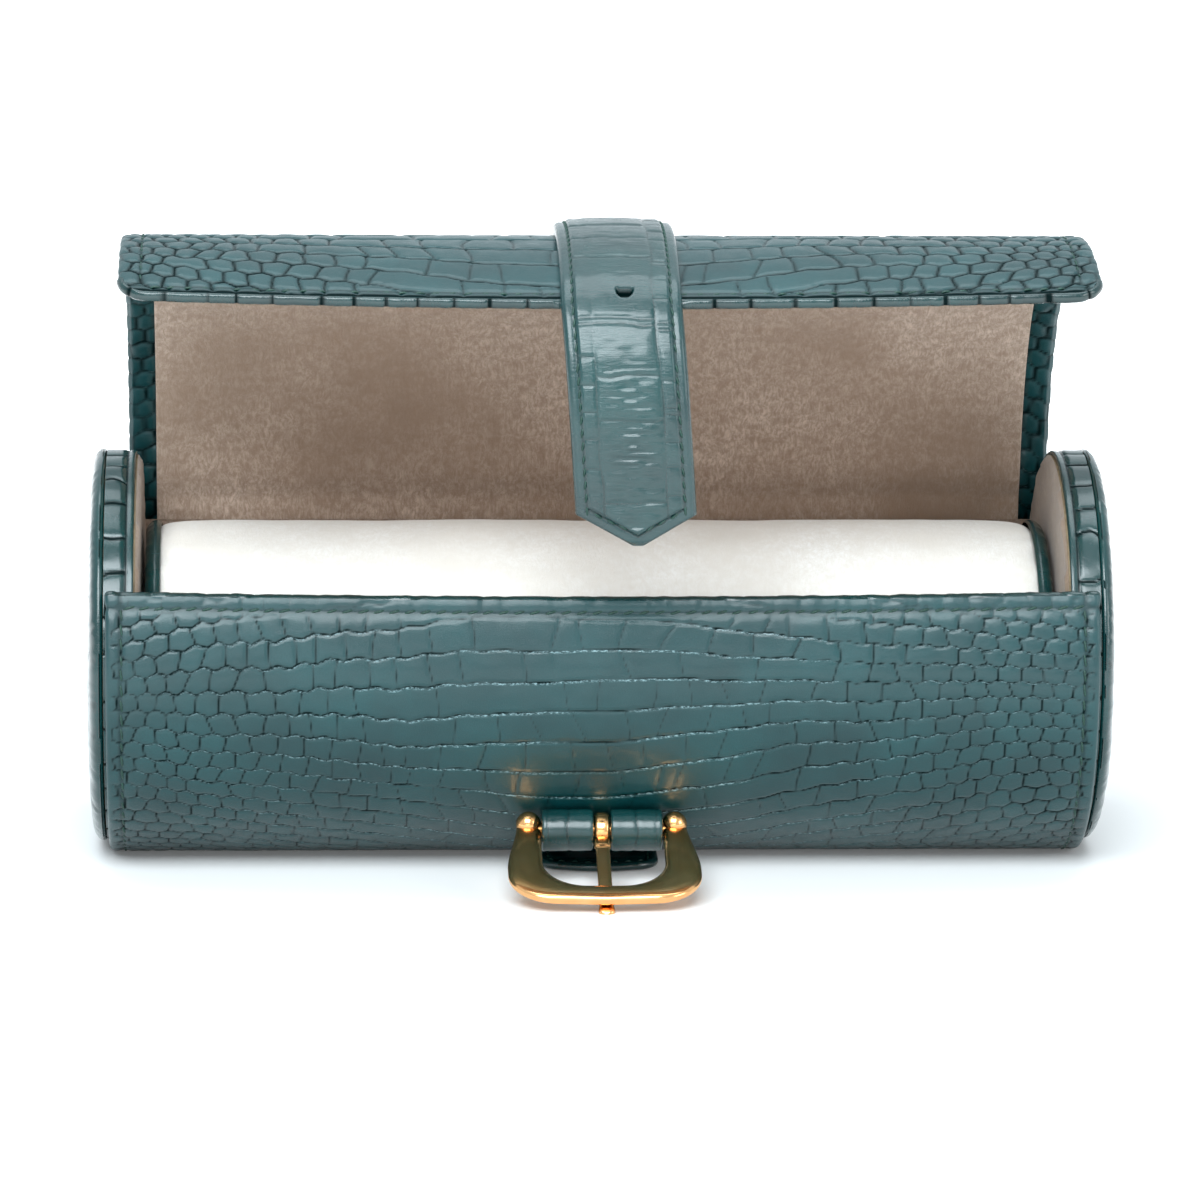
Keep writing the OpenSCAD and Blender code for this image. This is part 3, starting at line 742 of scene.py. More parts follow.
def end_disc(side, name):
    """The padded disc outside each end of the drum."""
    edge, dome, groove = 4.6, 0.9, 0.5
    inner = HALF_LEN + groove
    face = inner + 4.0 - dome
    flat_r = DISC_R - edge
    radii = steps(0.4, flat_r, 0.55)
    crown = face + dome * (1 - (radii / flat_r) ** 2.4)
    rim = arc(0, 0, 1, 0, 90, 14)[1:] * [face - inner - 0.8, edge] + [inner + 0.8, flat_r]
    outline = np.concatenate([
        np.stack([crown, radii], -1), rim,
        arc(inner + 0.8, DISC_R - 0.8, 0.8, 90, 180, 5),
        [[inner, DISC_R - 3.5]]])
    return turned_leather(name, outline, AXIS_Z, 31 + side, side, CAPS)


TILE_W = 8.4


def plug_band(side, name):
    """The leather band round each plug, divided into long tiles."""
    x0 = PLUG_X
    band = steps(x0 + 1.0, HALF_LEN + 0.4, 0.45)
    outline = np.concatenate([
        [[x0 + 0.1, PLUG_R - 1.6]], arc(x0 + 0.7, PLUG_R - 0.7, 0.7, 180, 90, 5),
        np.stack([band, np.full(len(band), PLUG_R)], -1)])
    p, turn = dished(outline, 0.5)
    normal = grid_normals(np.concatenate([p, p[:, :1]], 1))[:, :-1]
    normal *= np.sign((normal[..., 1] * p[..., 1] + normal[..., 2] * p[..., 2]).mean())
    around = np.broadcast_to(turn * PLUG_R, p.shape[:2])
    across = p[..., 0] - x0
    tile = around / TILE_W + 0.3 * noise(around / 9, across / 5, 41 + side)
    j = np.floor(tile)
    edge = np.minimum(tile - j, 1 - (tile - j)) * TILE_W
    deep = peak(edge, 0, 0.42) * smooth((across - 1.6) / 0.6)
    border = peak(across, 2.0, 0.35)
    puff = 0.32 * (1 - np.exp(-edge / 1.5)) * smooth((across - 2.2) / 0.8)
    relief = puff - 0.22 * deep - 0.2 * border + 0.03 * noise(around / 2, across / 2, 42)
    points = p + normal * (relief - 0.3)[..., None]
    points[..., 0] *= side
    points[..., 2] += AXIS_Z
    marks = plain_marks(around.shape, np.maximum(deep, 0.7 * border), cell_random(j, 3, 43))
    return sheet(name, CAPS, points, (around, across), marks, flip=side < 0, wrap=True)


PLEAT_W = 8.2


def pleated_face(side, name):
    """Suede laid in upright pleats over each plug's inner face."""
    r = PLUG_R - 1.25
    y = steps(-r, r, 0.2)
    v = np.linspace(-1, 1, 61)
    yy, vv = np.meshgrid(y, v)
    zz = vv * np.sqrt(np.maximum(r * r - yy * yy, 0.01))
    wander = 0.16 * noise(yy / 9, zz / 26, 51 + side) + 0.03 * noise(yy / 2, zz / 9, 52)
    phase = (yy / PLEAT_W + wander) % 1
    pleat = np.where(phase < 0.93, phase / 0.93, (1 - phase) / 0.07) ** 0.8
    rr = np.hypot(yy, zz) / r
    edge = smooth((1 - rr) * r / 1.6)
    crossing = peak(zz - 0.55 * yy - 4 + 2 * noise(yy / 12, 0 * yy, 53), 0, 0.7)
    depth = 0.6 * pleat * edge + 0.5 * peak(r - rr * r, 0, 0.9) - 0.3 * crossing * edge
    x = (FACE_X + 0.3 - depth + 0.75 * smooth((rr * r - r + 0.9) / 0.9)) * side
    deep = np.maximum(np.clip((0.3 - np.minimum(phase, 1 - phase) * 2.2) * 3.3, 0, 1), crossing) * edge
    points = np.stack([x, yy, zz + AXIS_Z], -1)
    return sheet(name, PLEATED, points, (yy, zz), plain_marks(deep.shape, deep), flip=side > 0)


# ---------------------------------------------------------------- lid

def circle_through(a, b, c):
    """Centre and radius of the circle through three points."""
    m = np.array([b - a, c - a]) * 2
    centre = np.linalg.solve(m, [b @ b - a @ a, c @ c - a @ a])
    return centre, np.linalg.norm(a - centre)


LID_CENTRE, LID_R = circle_through(FLEXES[0], FLEXES[2], FLEXES[4])
LID_START = math.degrees(math.atan2(*(FLEXES[0] - LID_CENTRE)[::-1]))
LID_STEP = (math.degrees(math.atan2(*(FLEXES[4] - LID_CENTRE)[::-1])) - LID_START) / 4
STRETCH = math.radians(LID_STEP) * LID_R
LID_LEN = 5 * STRETCH


def lid_circle(s, off=0.0):
    a = np.radians(LID_START) + np.asarray(s) / LID_R
    return LID_CENTRE + (LID_R + off) * np.stack([np.cos(a), np.sin(a)], -1)


def hinge_path():
    """The outer leather's line from the back wall over the hinge to the free edge, as [s, y, z]."""
    bend = 7.0
    down = np.linspace(-30, -bend, 60)
    wall = drum_point(HINGE_ANGLE - np.degrees(down / WALL_R), WALL_R)
    over = np.linspace(bend, LID_LEN + 20, 900)
    lid = lid_circle(over, LID_LIFT)
    start, stop = unit(wall[-1] - wall[-2]), unit(lid[1] - lid[0])
    pull = 5.2
    t = np.linspace(0, 1, 40)[1:-1, None]
    corner = [wall[-1], wall[-1] + pull * start, lid[0] - pull * stop, lid[0]]
    bent = ((1 - t) ** 3 * corner[0] + 3 * t * (1 - t) ** 2 * corner[1]
            + 3 * t * t * (1 - t) * corner[2] + t ** 3 * corner[3])
    s = np.concatenate([down, np.linspace(-bend, bend, 40)[1:-1], over])
    return np.column_stack([s, np.concatenate([wall, bent, lid])])


LID_PATH = hinge_path()
LID_TANGENT = unit(np.gradient(LID_PATH[:, 1:], axis=0))


def lid_at(s, depth=0.0):
    """Point and outward normal [y, z] on the lid, depth millimetres in from its outer leather."""
    y = np.interp(s, LID_PATH[:, 0], LID_PATH[:, 1])
    z = np.interp(s, LID_PATH[:, 0], LID_PATH[:, 2])
    ty = np.interp(s, LID_PATH[:, 0], LID_TANGENT[:, 0])
    tz = np.interp(s, LID_PATH[:, 0], LID_TANGENT[:, 1])
    out = unit(np.stack([tz, -ty], -1))
    return np.stack([y, z], -1) - out * np.asarray(depth)[..., None], out


def lid_columns(step):
    """A section across the lid's leather: turned-in margins, rolled sides and the outside.

    Gives how far x lies from the straight side line, the share of that line, the depth, and the
    place on the flat leather beyond the line.
    """
    roll = np.radians(np.linspace(0, 180, 11))[1:]
    flat_w = MARGIN_W - LID_EDGE_R + 0.6
    back = np.linspace(0, flat_w, 7)[1:]
    past = np.concatenate([LID_EDGE_R * np.sin(roll), -back])
    depth = np.concatenate([LID_EDGE_R * (1 - np.cos(roll)), np.full(len(back), LID_T)])
    depth[-1] -= 0.4
    beyond = np.concatenate([LID_EDGE_R * roll, LID_EDGE_R * math.pi + back])
    share = steps(-1, 1, step / (LID_HALF - LID_EDGE_R))
    zero = np.zeros(len(share))
    one = np.ones(len(past))
    return (np.concatenate([-past[::-1], zero, past]), np.concatenate([-one, share, one]),
            np.concatenate([depth[::-1], zero, depth]), np.concatenate([-beyond[::-1], zero, beyond]))


LID_PATTERN = dict(seed=23, pole=LID_LEN - 34.0, row_h=(10.0, 4.1), cell_w=(9.0, 4.4), puff=2.2, cut=2.0,
                   line=1.4)
SIDE_LINE = LID_HALF - LID_EDGE_R
SIDE_SEAM, FREE_SEAM = 3.4, 2.9
LID_BOW = 3.0


def bowed(x, s):
    """Draws the lid's free edge back a little towards its two corners."""
    return s - LID_BOW * (x / LID_HALF) ** 2 * smooth((s - LID_LEN + 32) / 30)


def lid_relief(w, s):
    """Scales of the lid, calmer at its rolled edges and along its stitches."""
    relief, marks = scales(w, s, **LID_PATTERN)
    from_side = SIDE_LINE - np.abs(w)
    to_end = LID_LEN - s
    sewn = peak(from_side, SIDE_SEAM, 0.55) * (to_end > 4) + peak(to_end, FREE_SEAM, 0.5)
    seam = peak(to_end, 1.7, 0.4)
    sewn = np.clip(sewn + 1.2 * seam, 0, 1)
    inside = smooth((-from_side - LID_EDGE_R * math.pi + 0.4) / 1.2)
    rolled = 1 - np.maximum(smooth((from_side + 0.2) / 1.4), inside) * smooth((to_end - 1.4) / 1.4)
    creases = noise(s / 2.3 + 0 * w, w * 0 + 0.4, 24) * rolled
    relief = relief * (1 - 0.7 * rolled) - 0.25 * sewn + 0.06 * creases
    relief = np.where(from_side < -LID_EDGE_R * 2, relief * 0.6 - 0.35, relief)
    marks[..., 0] = np.clip(np.maximum(marks[..., 0] * (1 - 0.4 * rolled), 0.5 * sewn + 0.5 * seam), 0, 1)
    marks[..., 3] *= 0.5 * (1 - rolled)
    return relief, marks


LID_STITCH = dict(pitch=3.4, length=2.4, radius=0.26)
CREASE_GAP = 7.6


def lid_leather(k):
    """Leather of the lid round bending line k, from mid-stretch to mid-stretch."""
    s0 = -HINGE_REACH if k == 0 else (k - 0.5) * STRETCH
    s1 = (k + 0.5) * STRETCH if k < 4 else LID_LEN - LID_CORNER_R
    s = steps(s0, s1, 0.5)
    past, share, depth, beyond = lid_columns(0.5)
    x = share * SIDE_LINE + past
    w = share * SIDE_LINE + beyond
    base = in_space(x, lid_at(bowed(x, s[:, None]), depth)[0])
    normal = -grid_normals(base)
    ww, ss = np.meshgrid(w, s)
    relief, marks = lid_relief(ww, ss)
    points = base + normal * relief[..., None]
    shape = Shape()
    shape.grid(points, np.stack([ww, ss], -1), marks, flip=True)
    sewn = s > 2
    for side in (-1, 1):
        col = nearest(w, side * (SIDE_LINE - SIDE_SEAM))
        stitch_row(shape, points[sewn, col], normal[sewn, col], **LID_STITCH)
    return shape.build("lid_leather_fold_%d" % (k + 1), [EMBOSSED, THREAD])


def lid_front():
    """The lid's free edge: the last of its leather with two round corners, and the rolled bead."""
    r = LID_CORNER_R - LID_EDGE_R
    turn = np.radians(np.linspace(0, 90, 13))
    s = LID_LEN - LID_EDGE_R - r + r * np.sin(turn)
    half = SIDE_LINE - r + r * np.cos(turn)
    share = steps(-1, 1, 0.5 / LID_HALF)
    shape = Shape()
    for depth, flip, off in ((0.0, True, 1), (LID_T, False, 0)):
        x = half[:, None] * share
        ss = np.repeat(s[:, None], len(share), 1)
        at, out = lid_at(bowed(x, ss), depth)
        relief, marks = lid_relief(x, ss)
        points = in_space(x, at + out * (relief * off)[..., None])
        shape.grid(points, np.stack([x, ss], -1), marks * off, flip=flip)
    path = np.concatenate([np.column_stack([-half, s]),
                           np.column_stack([share * half[-1], np.full(len(share), s[-1])])[1:-1],
                           np.column_stack([half, s])[::-1]])
    away = np.concatenate([np.column_stack([-np.cos(turn), np.sin(turn)]),
                           np.tile([0.0, 1.0], (len(share) - 2, 1)),
                           np.column_stack([np.cos(turn), np.sin(turn)])[::-1]])
    length = lengths(path)
    around = np.radians(np.linspace(0, 180, 13))
    crease = np.abs((length / CREASE_GAP + 0.25 * noise(length / 9, 0 * length, 25)) % 1 - 0.5) * CREASE_GAP
    pinch = peak(crease, 0, 0.5) + 0.35 * noise(length / 1.3, 0 * length, 26)
    points = []
    for a in around:
        roll = LID_EDGE_R + 0.3 * math.sin(a) - 0.3 * pinch * math.sin(a)
        at = path + away * (roll * math.sin(a))[:, None]
        proud = 0.5 * math.sin(2 * a) if a < math.pi / 2 else 0.0
        proud = proud * smooth((np.abs(at[:, 0] - STRAP_X) - 12.5) / 2)
        thick = LID_EDGE_R + proud - 0.15 * pinch * math.sin(a)
        points.append(in_space(at[:, 0], lid_at(bowed(*at.T), LID_EDGE_R - thick * math.cos(a))[0]))
    ll, aa = np.meshgrid(length, around)
    tone = cell_random(np.floor(length / CREASE_GAP), 5, 27)
    marks = plain_marks(ll.shape, np.clip(pinch * 0.8, 0, 1), tone)
    shape.grid(np.stack(points), np.stack([ll, aa * LID_EDGE_R], -1), marks, slot=2)
    x = share * (LID_HALF - LID_CORNER_R)
    yz, out = lid_at(bowed(x, LID_LEN - FREE_SEAM), np.full(len(share), 0.15))
    stitch_row(shape, in_space(x, yz), in_space(0 * x, out), **LID_STITCH)
    return shape.build("lid_front_edge", [EMBOSSED, THREAD, EDGE_LEATHER])


def lid_lining(k):
    """Suede inside the lid round bending line k. Over the hinge it thickens to meet the drum's."""
    s0 = -HINGE_REACH if k == 0 else (k - 0.5) * STRETCH
    s1 = (k + 0.5) * STRETCH if k < 4 else LID_LEN - LID_EDGE_R - 0.6
    s = steps(s0, s1, 0.9)
    half = LID_HALF - MARGIN_W
    x = np.concatenate([[-half - 0.02, -half, -half + 0.3], steps(-half + 1.0, half - 1.0, 1.3),
                        [half - 0.3, half, half + 0.02]])
    xx, ss = np.meshgrid(x, s)
    thick = LID_T + (WALL_R - LINING_R - LID_T) * (1 - smooth((ss + HINGE_REACH) / 7.5))
    swell = 0.12 * noise(xx / 21, ss / 17, 61) + 0.05 * noise(xx / 6, ss / 6, 62)
    swell = swell * smooth((ss + HINGE_REACH) / 4)
    edge = np.interp(np.abs(xx), [half - 1.0, half - 0.3, half, half + 0.02], [0.05, 0.0, -0.1, -0.6])
    depth = thick + edge + (swell - 0.1) * (edge > 0.04)
    if k == 4:
        depth = depth - 0.35 * smooth((ss - s1 + 0.5) / 0.5)
    points = in_space(xx, lid_at(bowed(xx, ss), depth)[0])
    return sheet("lid_lining_fold_%d" % (k + 1), LINING, points, (xx, ss))


# ---------------------------------------------------------------- strap

def strap_path():
    """The strap's middle line from its root on the lid to its tip, as [length, x, y, z]."""
    lift = LID_LIFT + STRAP_T / 2 + 0.15
    on_lid = np.linspace(1.34 * STRETCH, LID_LEN - 3, 60)
    run = unit(BENDS[2] - BENDS[1])
    inward = math.radians(18)
    hang = np.array([run[0] * math.cos(inward) - run[1] * math.sin(inward),
                     run[0] * math.sin(inward) + run[1] * math.cos(inward)])
    fall = [BENDS[2] + hang * d for d in (8, 16, 24, STRAP_TIP)]
    knots = np.concatenate([lid_circle(on_lid, lift), BENDS, fall])
    dense = [knots[0]]
    for i in range(len(knots) - 1):
        p0, p1, p2, p3 = (knots[min(max(i + k, 0), len(knots) - 1)] for k in (-1, 0, 1, 2))
        for t in np.linspace(0, 1, 9)[1:]:
            dense.append(0.5 * (2 * p1 + (p2 - p0) * t + (2 * p0 - 5 * p1 + 4 * p2 - p3) * t * t
                                + (3 * p1 - p0 - 3 * p2 + p3) * t ** 3))
    dense = np.array(dense)
    for _ in range(60):
        dense[1:-1] = (dense[:-2] + 2 * dense[1:-1] + dense[2:]) / 4
    length = lengths(dense)
    bend = length[np.argmin(np.linalg.norm(dense - BENDS[0], axis=1))]
    x = STRAP_X + np.maximum(length - bend, 0) * STRAP_LEAN
    return np.column_stack([length, x, dense])


STRAP = strap_path()
STRAP_TANGENT = unit(np.gradient(STRAP[:, 2:], axis=0))
STRAP_LEN = STRAP[-1, 0]


def strap_at(length):
    """x, point and outward normal of the strap's middle line."""
    x, y, z = (np.interp(length, STRAP[:, 0], STRAP[:, k]) for k in (1, 2, 3))
    ty, tz = (np.interp(length, STRAP[:, 0], STRAP_TANGENT[:, k]) for k in (0, 1))
    return x, np.stack([y, z], -1), unit(np.stack([tz, -ty], -1))


def strap_length_at(point):
    return STRAP[np.argmin(np.linalg.norm(STRAP[:, 2:] - point, axis=1)), 0]


HOLE_AT = strap_length_at(BENDS[0]) - 2.4
POINT_LEN = 6.5
POINT_HALF = 1.2
STRAP_SEAM = 2.4


def strap_half(length):
    """Half the strap's width: full, then down to its blunt point."""
    full = STRAP_W / 2
    down = np.clip((length - STRAP_LEN + POINT_LEN) / POINT_LEN, 0, 1)
    return full + (POINT_HALF - full) * down


def strap_inset(w, length):
    """How far a point of the flat strap lies in from its outline."""
    full = STRAP_W / 2
    slope = math.atan2(full - POINT_HALF, POINT_LEN)
    line = (STRAP_LEN - POINT_LEN - length) * math.sin(slope) + (full - np.abs(w)) * math.cos(slope)
    return np.minimum(np.minimum(full - np.abs(w), line), length + 0.4)


def strap_relief(w, length):
    """The strap's upper face: turned border, stitch groove, and a padded middle with cross creases."""
    inset = strap_inset(w, length)
    border = 2.3
    padded = smooth((inset - border + 0.2) / 1.1)
    groove = peak(inset, STRAP_SEAM, 0.4)
    left = w < 0
    side = 6.4 + 1.0 * left + 0.7 * noise(length / 23, np.sign(w), 81)
    side = side + 0.4 * noise(length / 6, np.sign(w), 80)
    begun = np.where(left, smooth((length - HOLE_AT - 12) / 3), 1.0)
    down = peak(np.abs(w), side, 0.32) * (0.75 + 0.25 * noise(length / 5, np.sign(w), 79)) * begun
    column = np.where((np.abs(w) < side) | (begun < 0.5), 0, np.sign(w) * 2)
    tall = 9.4 - 3.8 * (column != 0)
    row = length / tall + 0.55 * cell_random(column + 4, 2, 82) + 0.05 * noise(w / 4, length / 6, 83)
    j = np.floor(row)
    row = row + (cell_random(j, column + 4, 84) - 0.5) * 0.3
    to_cross = np.minimum(row % 1, 1 - row % 1) * tall
    cross = peak(to_cross, 0, 0.32) * 0.8
    deep = np.clip(np.maximum(cross, down) * padded, 0, 1)
    to_edge = np.minimum(to_cross, np.abs(np.abs(w) - side))
    wrinkle = noise(w / 3.5, length / 0.75, 85) * peak(w, 0, 5.5) * smooth(to_edge / 0.8)
    crown = 1 - (w / (STRAP_W / 2 - border)) ** 2
    height = -0.55 + padded * (0.5 + 0.35 * np.maximum(crown, 0) + 0.14 * (1 - np.exp(-to_edge / 0.9)))
    slack = 0.05 + 0.2 * smooth((length - HOLE_AT - 12) / 10)
    height = height - 0.17 * deep - 0.16 * groove + slack * wrinkle * padded
    height = height + 0.03 * noise(w / 2, length / 2, 86)
    tone = cell_random(j, column + 9, 87) * padded + 0.9 * (1 - padded)
    return height, np.clip(np.maximum(0.42 * deep, 0.4 * groove), 0, 1), tone


def strap_piece(name, start, stop):
    """One length of the strap, closed round its edges."""
    edge_r, step = 1.25, 0.32
    length = steps(start, stop, step)
    if stop >= STRAP_LEN:
        length = np.concatenate([length[:-1], STRAP_LEN - step * (1 - np.array([0.5, 0.8, 1.0]))])
    top = steps(-1, 1, step / (STRAP_W / 2))
    side = np.radians(np.linspace(0, 180, 9))[1:-1]
    under = steps(1, -1, 1.6 / (STRAP_W / 2))
    half = strap_half(length)
    end = np.clip((STRAP_LEN - length) / 1.2, 0.12, 1) ** 0.5
    begin = np.clip((length + 0.05) / 1.0, 0.12, 1) ** 0.5
    thick = np.minimum(end, begin)[:, None]
    inner = (half - edge_r * np.minimum(half / edge_r, 1) * 0.98)[:, None]
    roll = (half[:, None] - inner)
    w_top = inner * top
    ll = np.repeat(length[:, None], len(top), 1)
    relief, deep, tone = strap_relief(w_top, ll)
    x_mid, mid, out = strap_at(length)
    hole = np.hypot(w_top - 0.6, ll - HOLE_AT)
    pit = smooth((1.9 - hole) / 0.6) * smooth((ll - HOLE_AT + 0.7) / 0.4)
    upper = (STRAP_T / 2 + relief) - pit * 2.6
    deep = np.maximum(deep, pit)
    rim = upper[:, -1:]
    lower = -STRAP_T / 2
    centre = (rim + lower) / 2
    reach = (rim - lower) / 2
    right_w = inner + roll * np.sin(side)
    right_h = centre + reach * np.cos(side)
    left_rim = upper[:, :1]
    left_h = ((left_rim + lower) / 2 + (left_rim - lower) / 2 * np.cos(side))[:, ::-1]
    left_w = -(inner + roll * np.sin(side))[:, ::-1]
    w = np.concatenate([w_top, right_w, inner * under, left_w], 1)
    h = np.concatenate([upper, right_h, np.full((len(length), len(under)), lower), left_h], 1) * thick
    pad = w.shape[1] - len(top)
    deep = np.concatenate([deep, np.full((len(length), pad), 0.15)], 1)
    tone = np.concatenate([tone, np.full((len(length), pad), 0.9)], 1)
    base = in_space(x_mid[:, None] + w, mid[:, None] + out[:, None] * h[..., None])
    flat = np.stack([w, np.repeat(length[:, None], w.shape[1], 1)], -1)
    shape = Shape()
    shape.grid(base, flat, plain_marks(deep.shape, deep, tone), flip=True, wrap=True)
    if start <= 0:
        shape.fan(base[0])
    if stop >= STRAP_LEN:
        shape.fan(base[-1], flip=True)
    strap_stitches(shape, start, stop)
    return shape.build(name, [STRAP_LEATHER, THREAD])


def strap_stitches(shape, start, stop):
    """Two stitch lines inside the border, which meet at the point."""
    slope = math.atan2(STRAP_W / 2 - POINT_HALF, POINT_LEN)
    shoulder = STRAP_LEN - POINT_LEN - STRAP_SEAM * math.tan(slope / 2) * 0.6
    tip = STRAP_LEN - STRAP_SEAM / math.sin(slope) - 0.4
    root = 1.8
    line = STRAP_W / 2 - STRAP_SEAM
    for side in (-1, 1):
        length = np.concatenate([steps(root, shoulder, 0.4), steps(shoulder, tip, 0.4)[1:]])
        w = side * np.interp(length, [root, shoulder, tip], [line, line, 0.9])
        inside = (length >= start) & (length <= stop)
        if inside.sum() < 8:
            continue
        length, w = length[inside], w[inside]
        relief = strap_relief(w, length)[0]
        x_mid, mid, out = strap_at(length)
        path = in_space(x_mid + w, mid + out * (STRAP_T / 2 + relief)[:, None])
        stitch_row(shape, path, in_space(0 * w, out), pitch=2.7, length=2.6, radius=0.27, slant=0.22 * side)


# ---------------------------------------------------------------- buckle

def on_heel(points, slope):
    """Turns points drawn flat, with the far side towards -Y, to their slope at the heel bar."""
    y, z = points[..., 1], points[..., 2]
    c, s = math.cos(slope), math.sin(slope)
    return np.stack([points[..., 0], HEEL[0] + y * c - z * s, HEEL[1] + y * s + z * c], -1)


def ring_section(count, square):
    """A rounded square section: across and up, each from -1 to 1."""
    a = np.linspace(0, 2 * math.pi, count, endpoint=False)
    c, s = np.cos(a), np.sin(a)
    return np.sign(c) * np.abs(c) ** square, np.sign(s) * np.abs(s) ** square


def bezier(a, b, c, d, n):
    t = np.linspace(0, 1, n)[:, None]
    a, b, c, d = (np.array(v, float) for v in (a, b, c, d))
    return (1 - t) ** 3 * a + 3 * t * (1 - t) ** 2 * b + 3 * t * t * (1 - t) * c + t ** 3 * d


def half_outline(heel, shoulder, corner, radius, middle, n):
    """One side of the frame's outline: its arm, its round corner and half of its far bar."""
    arm = bezier(heel, (heel[0], heel[1] * 0.6 - 4), (shoulder[0], shoulder[1] + 5), shoulder, n)
    a = np.radians(np.linspace(0, -88, n))[1:]
    bend = np.stack([corner[0] + radius * np.cos(a), corner[1] + radius * np.sin(a)], -1)
    t = np.linspace(0, 1, n)[1:, None]
    return np.concatenate([arm, bend, bend[-1] * (1 - t) + np.array([0.0, middle]) * t])


def buckle_frame():
    """The polished frame, swept between its outer and inner outlines, with domed arm ends."""
    n = 26
    far, bar = -FRAME_LEN, -FRAME_LEN + BAR_W
    bend = 10.0
    outer = half_outline((ARM_X + ARM_R, 1.0), (FRAME_HALF_W, -16.0), (FRAME_HALF_W - bend, far + bend),
                         bend, far - 0.5, n)
    x_in = ARM_X - ARM_R
    inner = half_outline((x_in, 1.0), (x_in, bar + bend), (x_in - bend, bar + bend), bend, bar, n)
    outer = np.concatenate([outer, outer[-2::-1] * [-1, 1]])
    inner = np.concatenate([inner, inner[-2::-1] * [-1, 1]])
    across, up = ring_section(40, 0.72)
    middle, half = (outer + inner) / 2, (outer - inner) / 2
    p = np.zeros((len(outer), 40, 3))
    p[..., :2] = middle[:, None] + half[:, None] * across[None, :, None]
    p[..., 2] = up * FRAME_T / 2
    shape = Shape()
    p = on_heel(p, FRAME_SLOPE)
    shape.grid(p, wrap=True)
    shape.fan(p[0], flip=True)
    shape.fan(p[-1])
    for side in (-1, 1):
        lat, lon = np.radians(np.linspace(-90, 90, 25)), np.radians(np.arange(0, 360, 9))
        la, lo = np.meshgrid(lat, lon, indexing="ij")
        r = ARM_R + 0.12
        ball = np.stack([side * ARM_X + r * np.cos(la) * np.cos(lo), 1.0 + r * np.cos(la) * np.sin(lo),
                         0.9 + r * np.sin(la)], -1)
        shape.grid(on_heel(ball, FRAME_SLOPE), wrap=True)
    return shape.build("buckle_frame_gold", [GOLD])


def tongue():
    """The flat tongue: a blade with a collar near the loop and a rounded tip under the far bar."""
    tip = FRAME_LEN + 1.6
    y = np.concatenate([steps(-3.2, -6.2, 0.5), [-6.5, -6.9], steps(-7.4, -tip + 1.6, 0.9),
                        -tip + 1.4 - 1.4 * np.sin(np.radians([15, 35, 55, 72, 84, 90]))])
    half_w = np.interp(-y, [0, 6.2, 6.9, tip - 3.2, tip - 1.8, tip], [1.75, 1.75, 1.5, 1.5, 1.75, 1.75])
    near_tip = np.clip((tip + y) / 1.4, 0.02, 1)
    ball = np.sqrt(1 - (1 - near_tip) ** 2 * 0.98)
    half_w = half_w * ball
    half_t = np.interp(-y, [0, 6.2, 6.9, tip - 3.2, tip - 1.6, tip], [0.95, 0.95, 0.6, 0.6, 0.8, 0.8])
    half_t = half_t * ball
    drop = 0.1 * smooth((-y - tip + 5) / 4)
    across, up = ring_section(24, 0.6)
    p = np.zeros((len(y), 24, 3))
    p[..., 0] = half_w[:, None] * across
    p[..., 1] = y[:, None]
    p[..., 2] = half_t[:, None] * up - drop[:, None]
    shape = Shape()
    p = on_heel(p, TONGUE_SLOPE)
    shape.grid(p, wrap=True, flip=True)
    shape.fan(p[-1], flip=True)
    shape.fan(p[0])
    turn = np.radians(np.arange(0, 360, 9))
    half_eye = ((1.5, 1.6), (3.3, 1.6), (3.7, 1.35), (3.85, 0.8))
    section = [(r, -x) for r, x in half_eye] + list(half_eye)[::-1]
    eye = np.array([[(x, r * math.cos(q), r * math.sin(q)) for q in turn] for r, x in section])
    shape.grid(on_heel(eye, TONGUE_SLOPE), wrap=True, flip=True)
    return shape.build("buckle_tongue_gold", [GOLD])


LOOP_HOLLOW = 2.6
TAIL_ANGLES = (-62, -43)


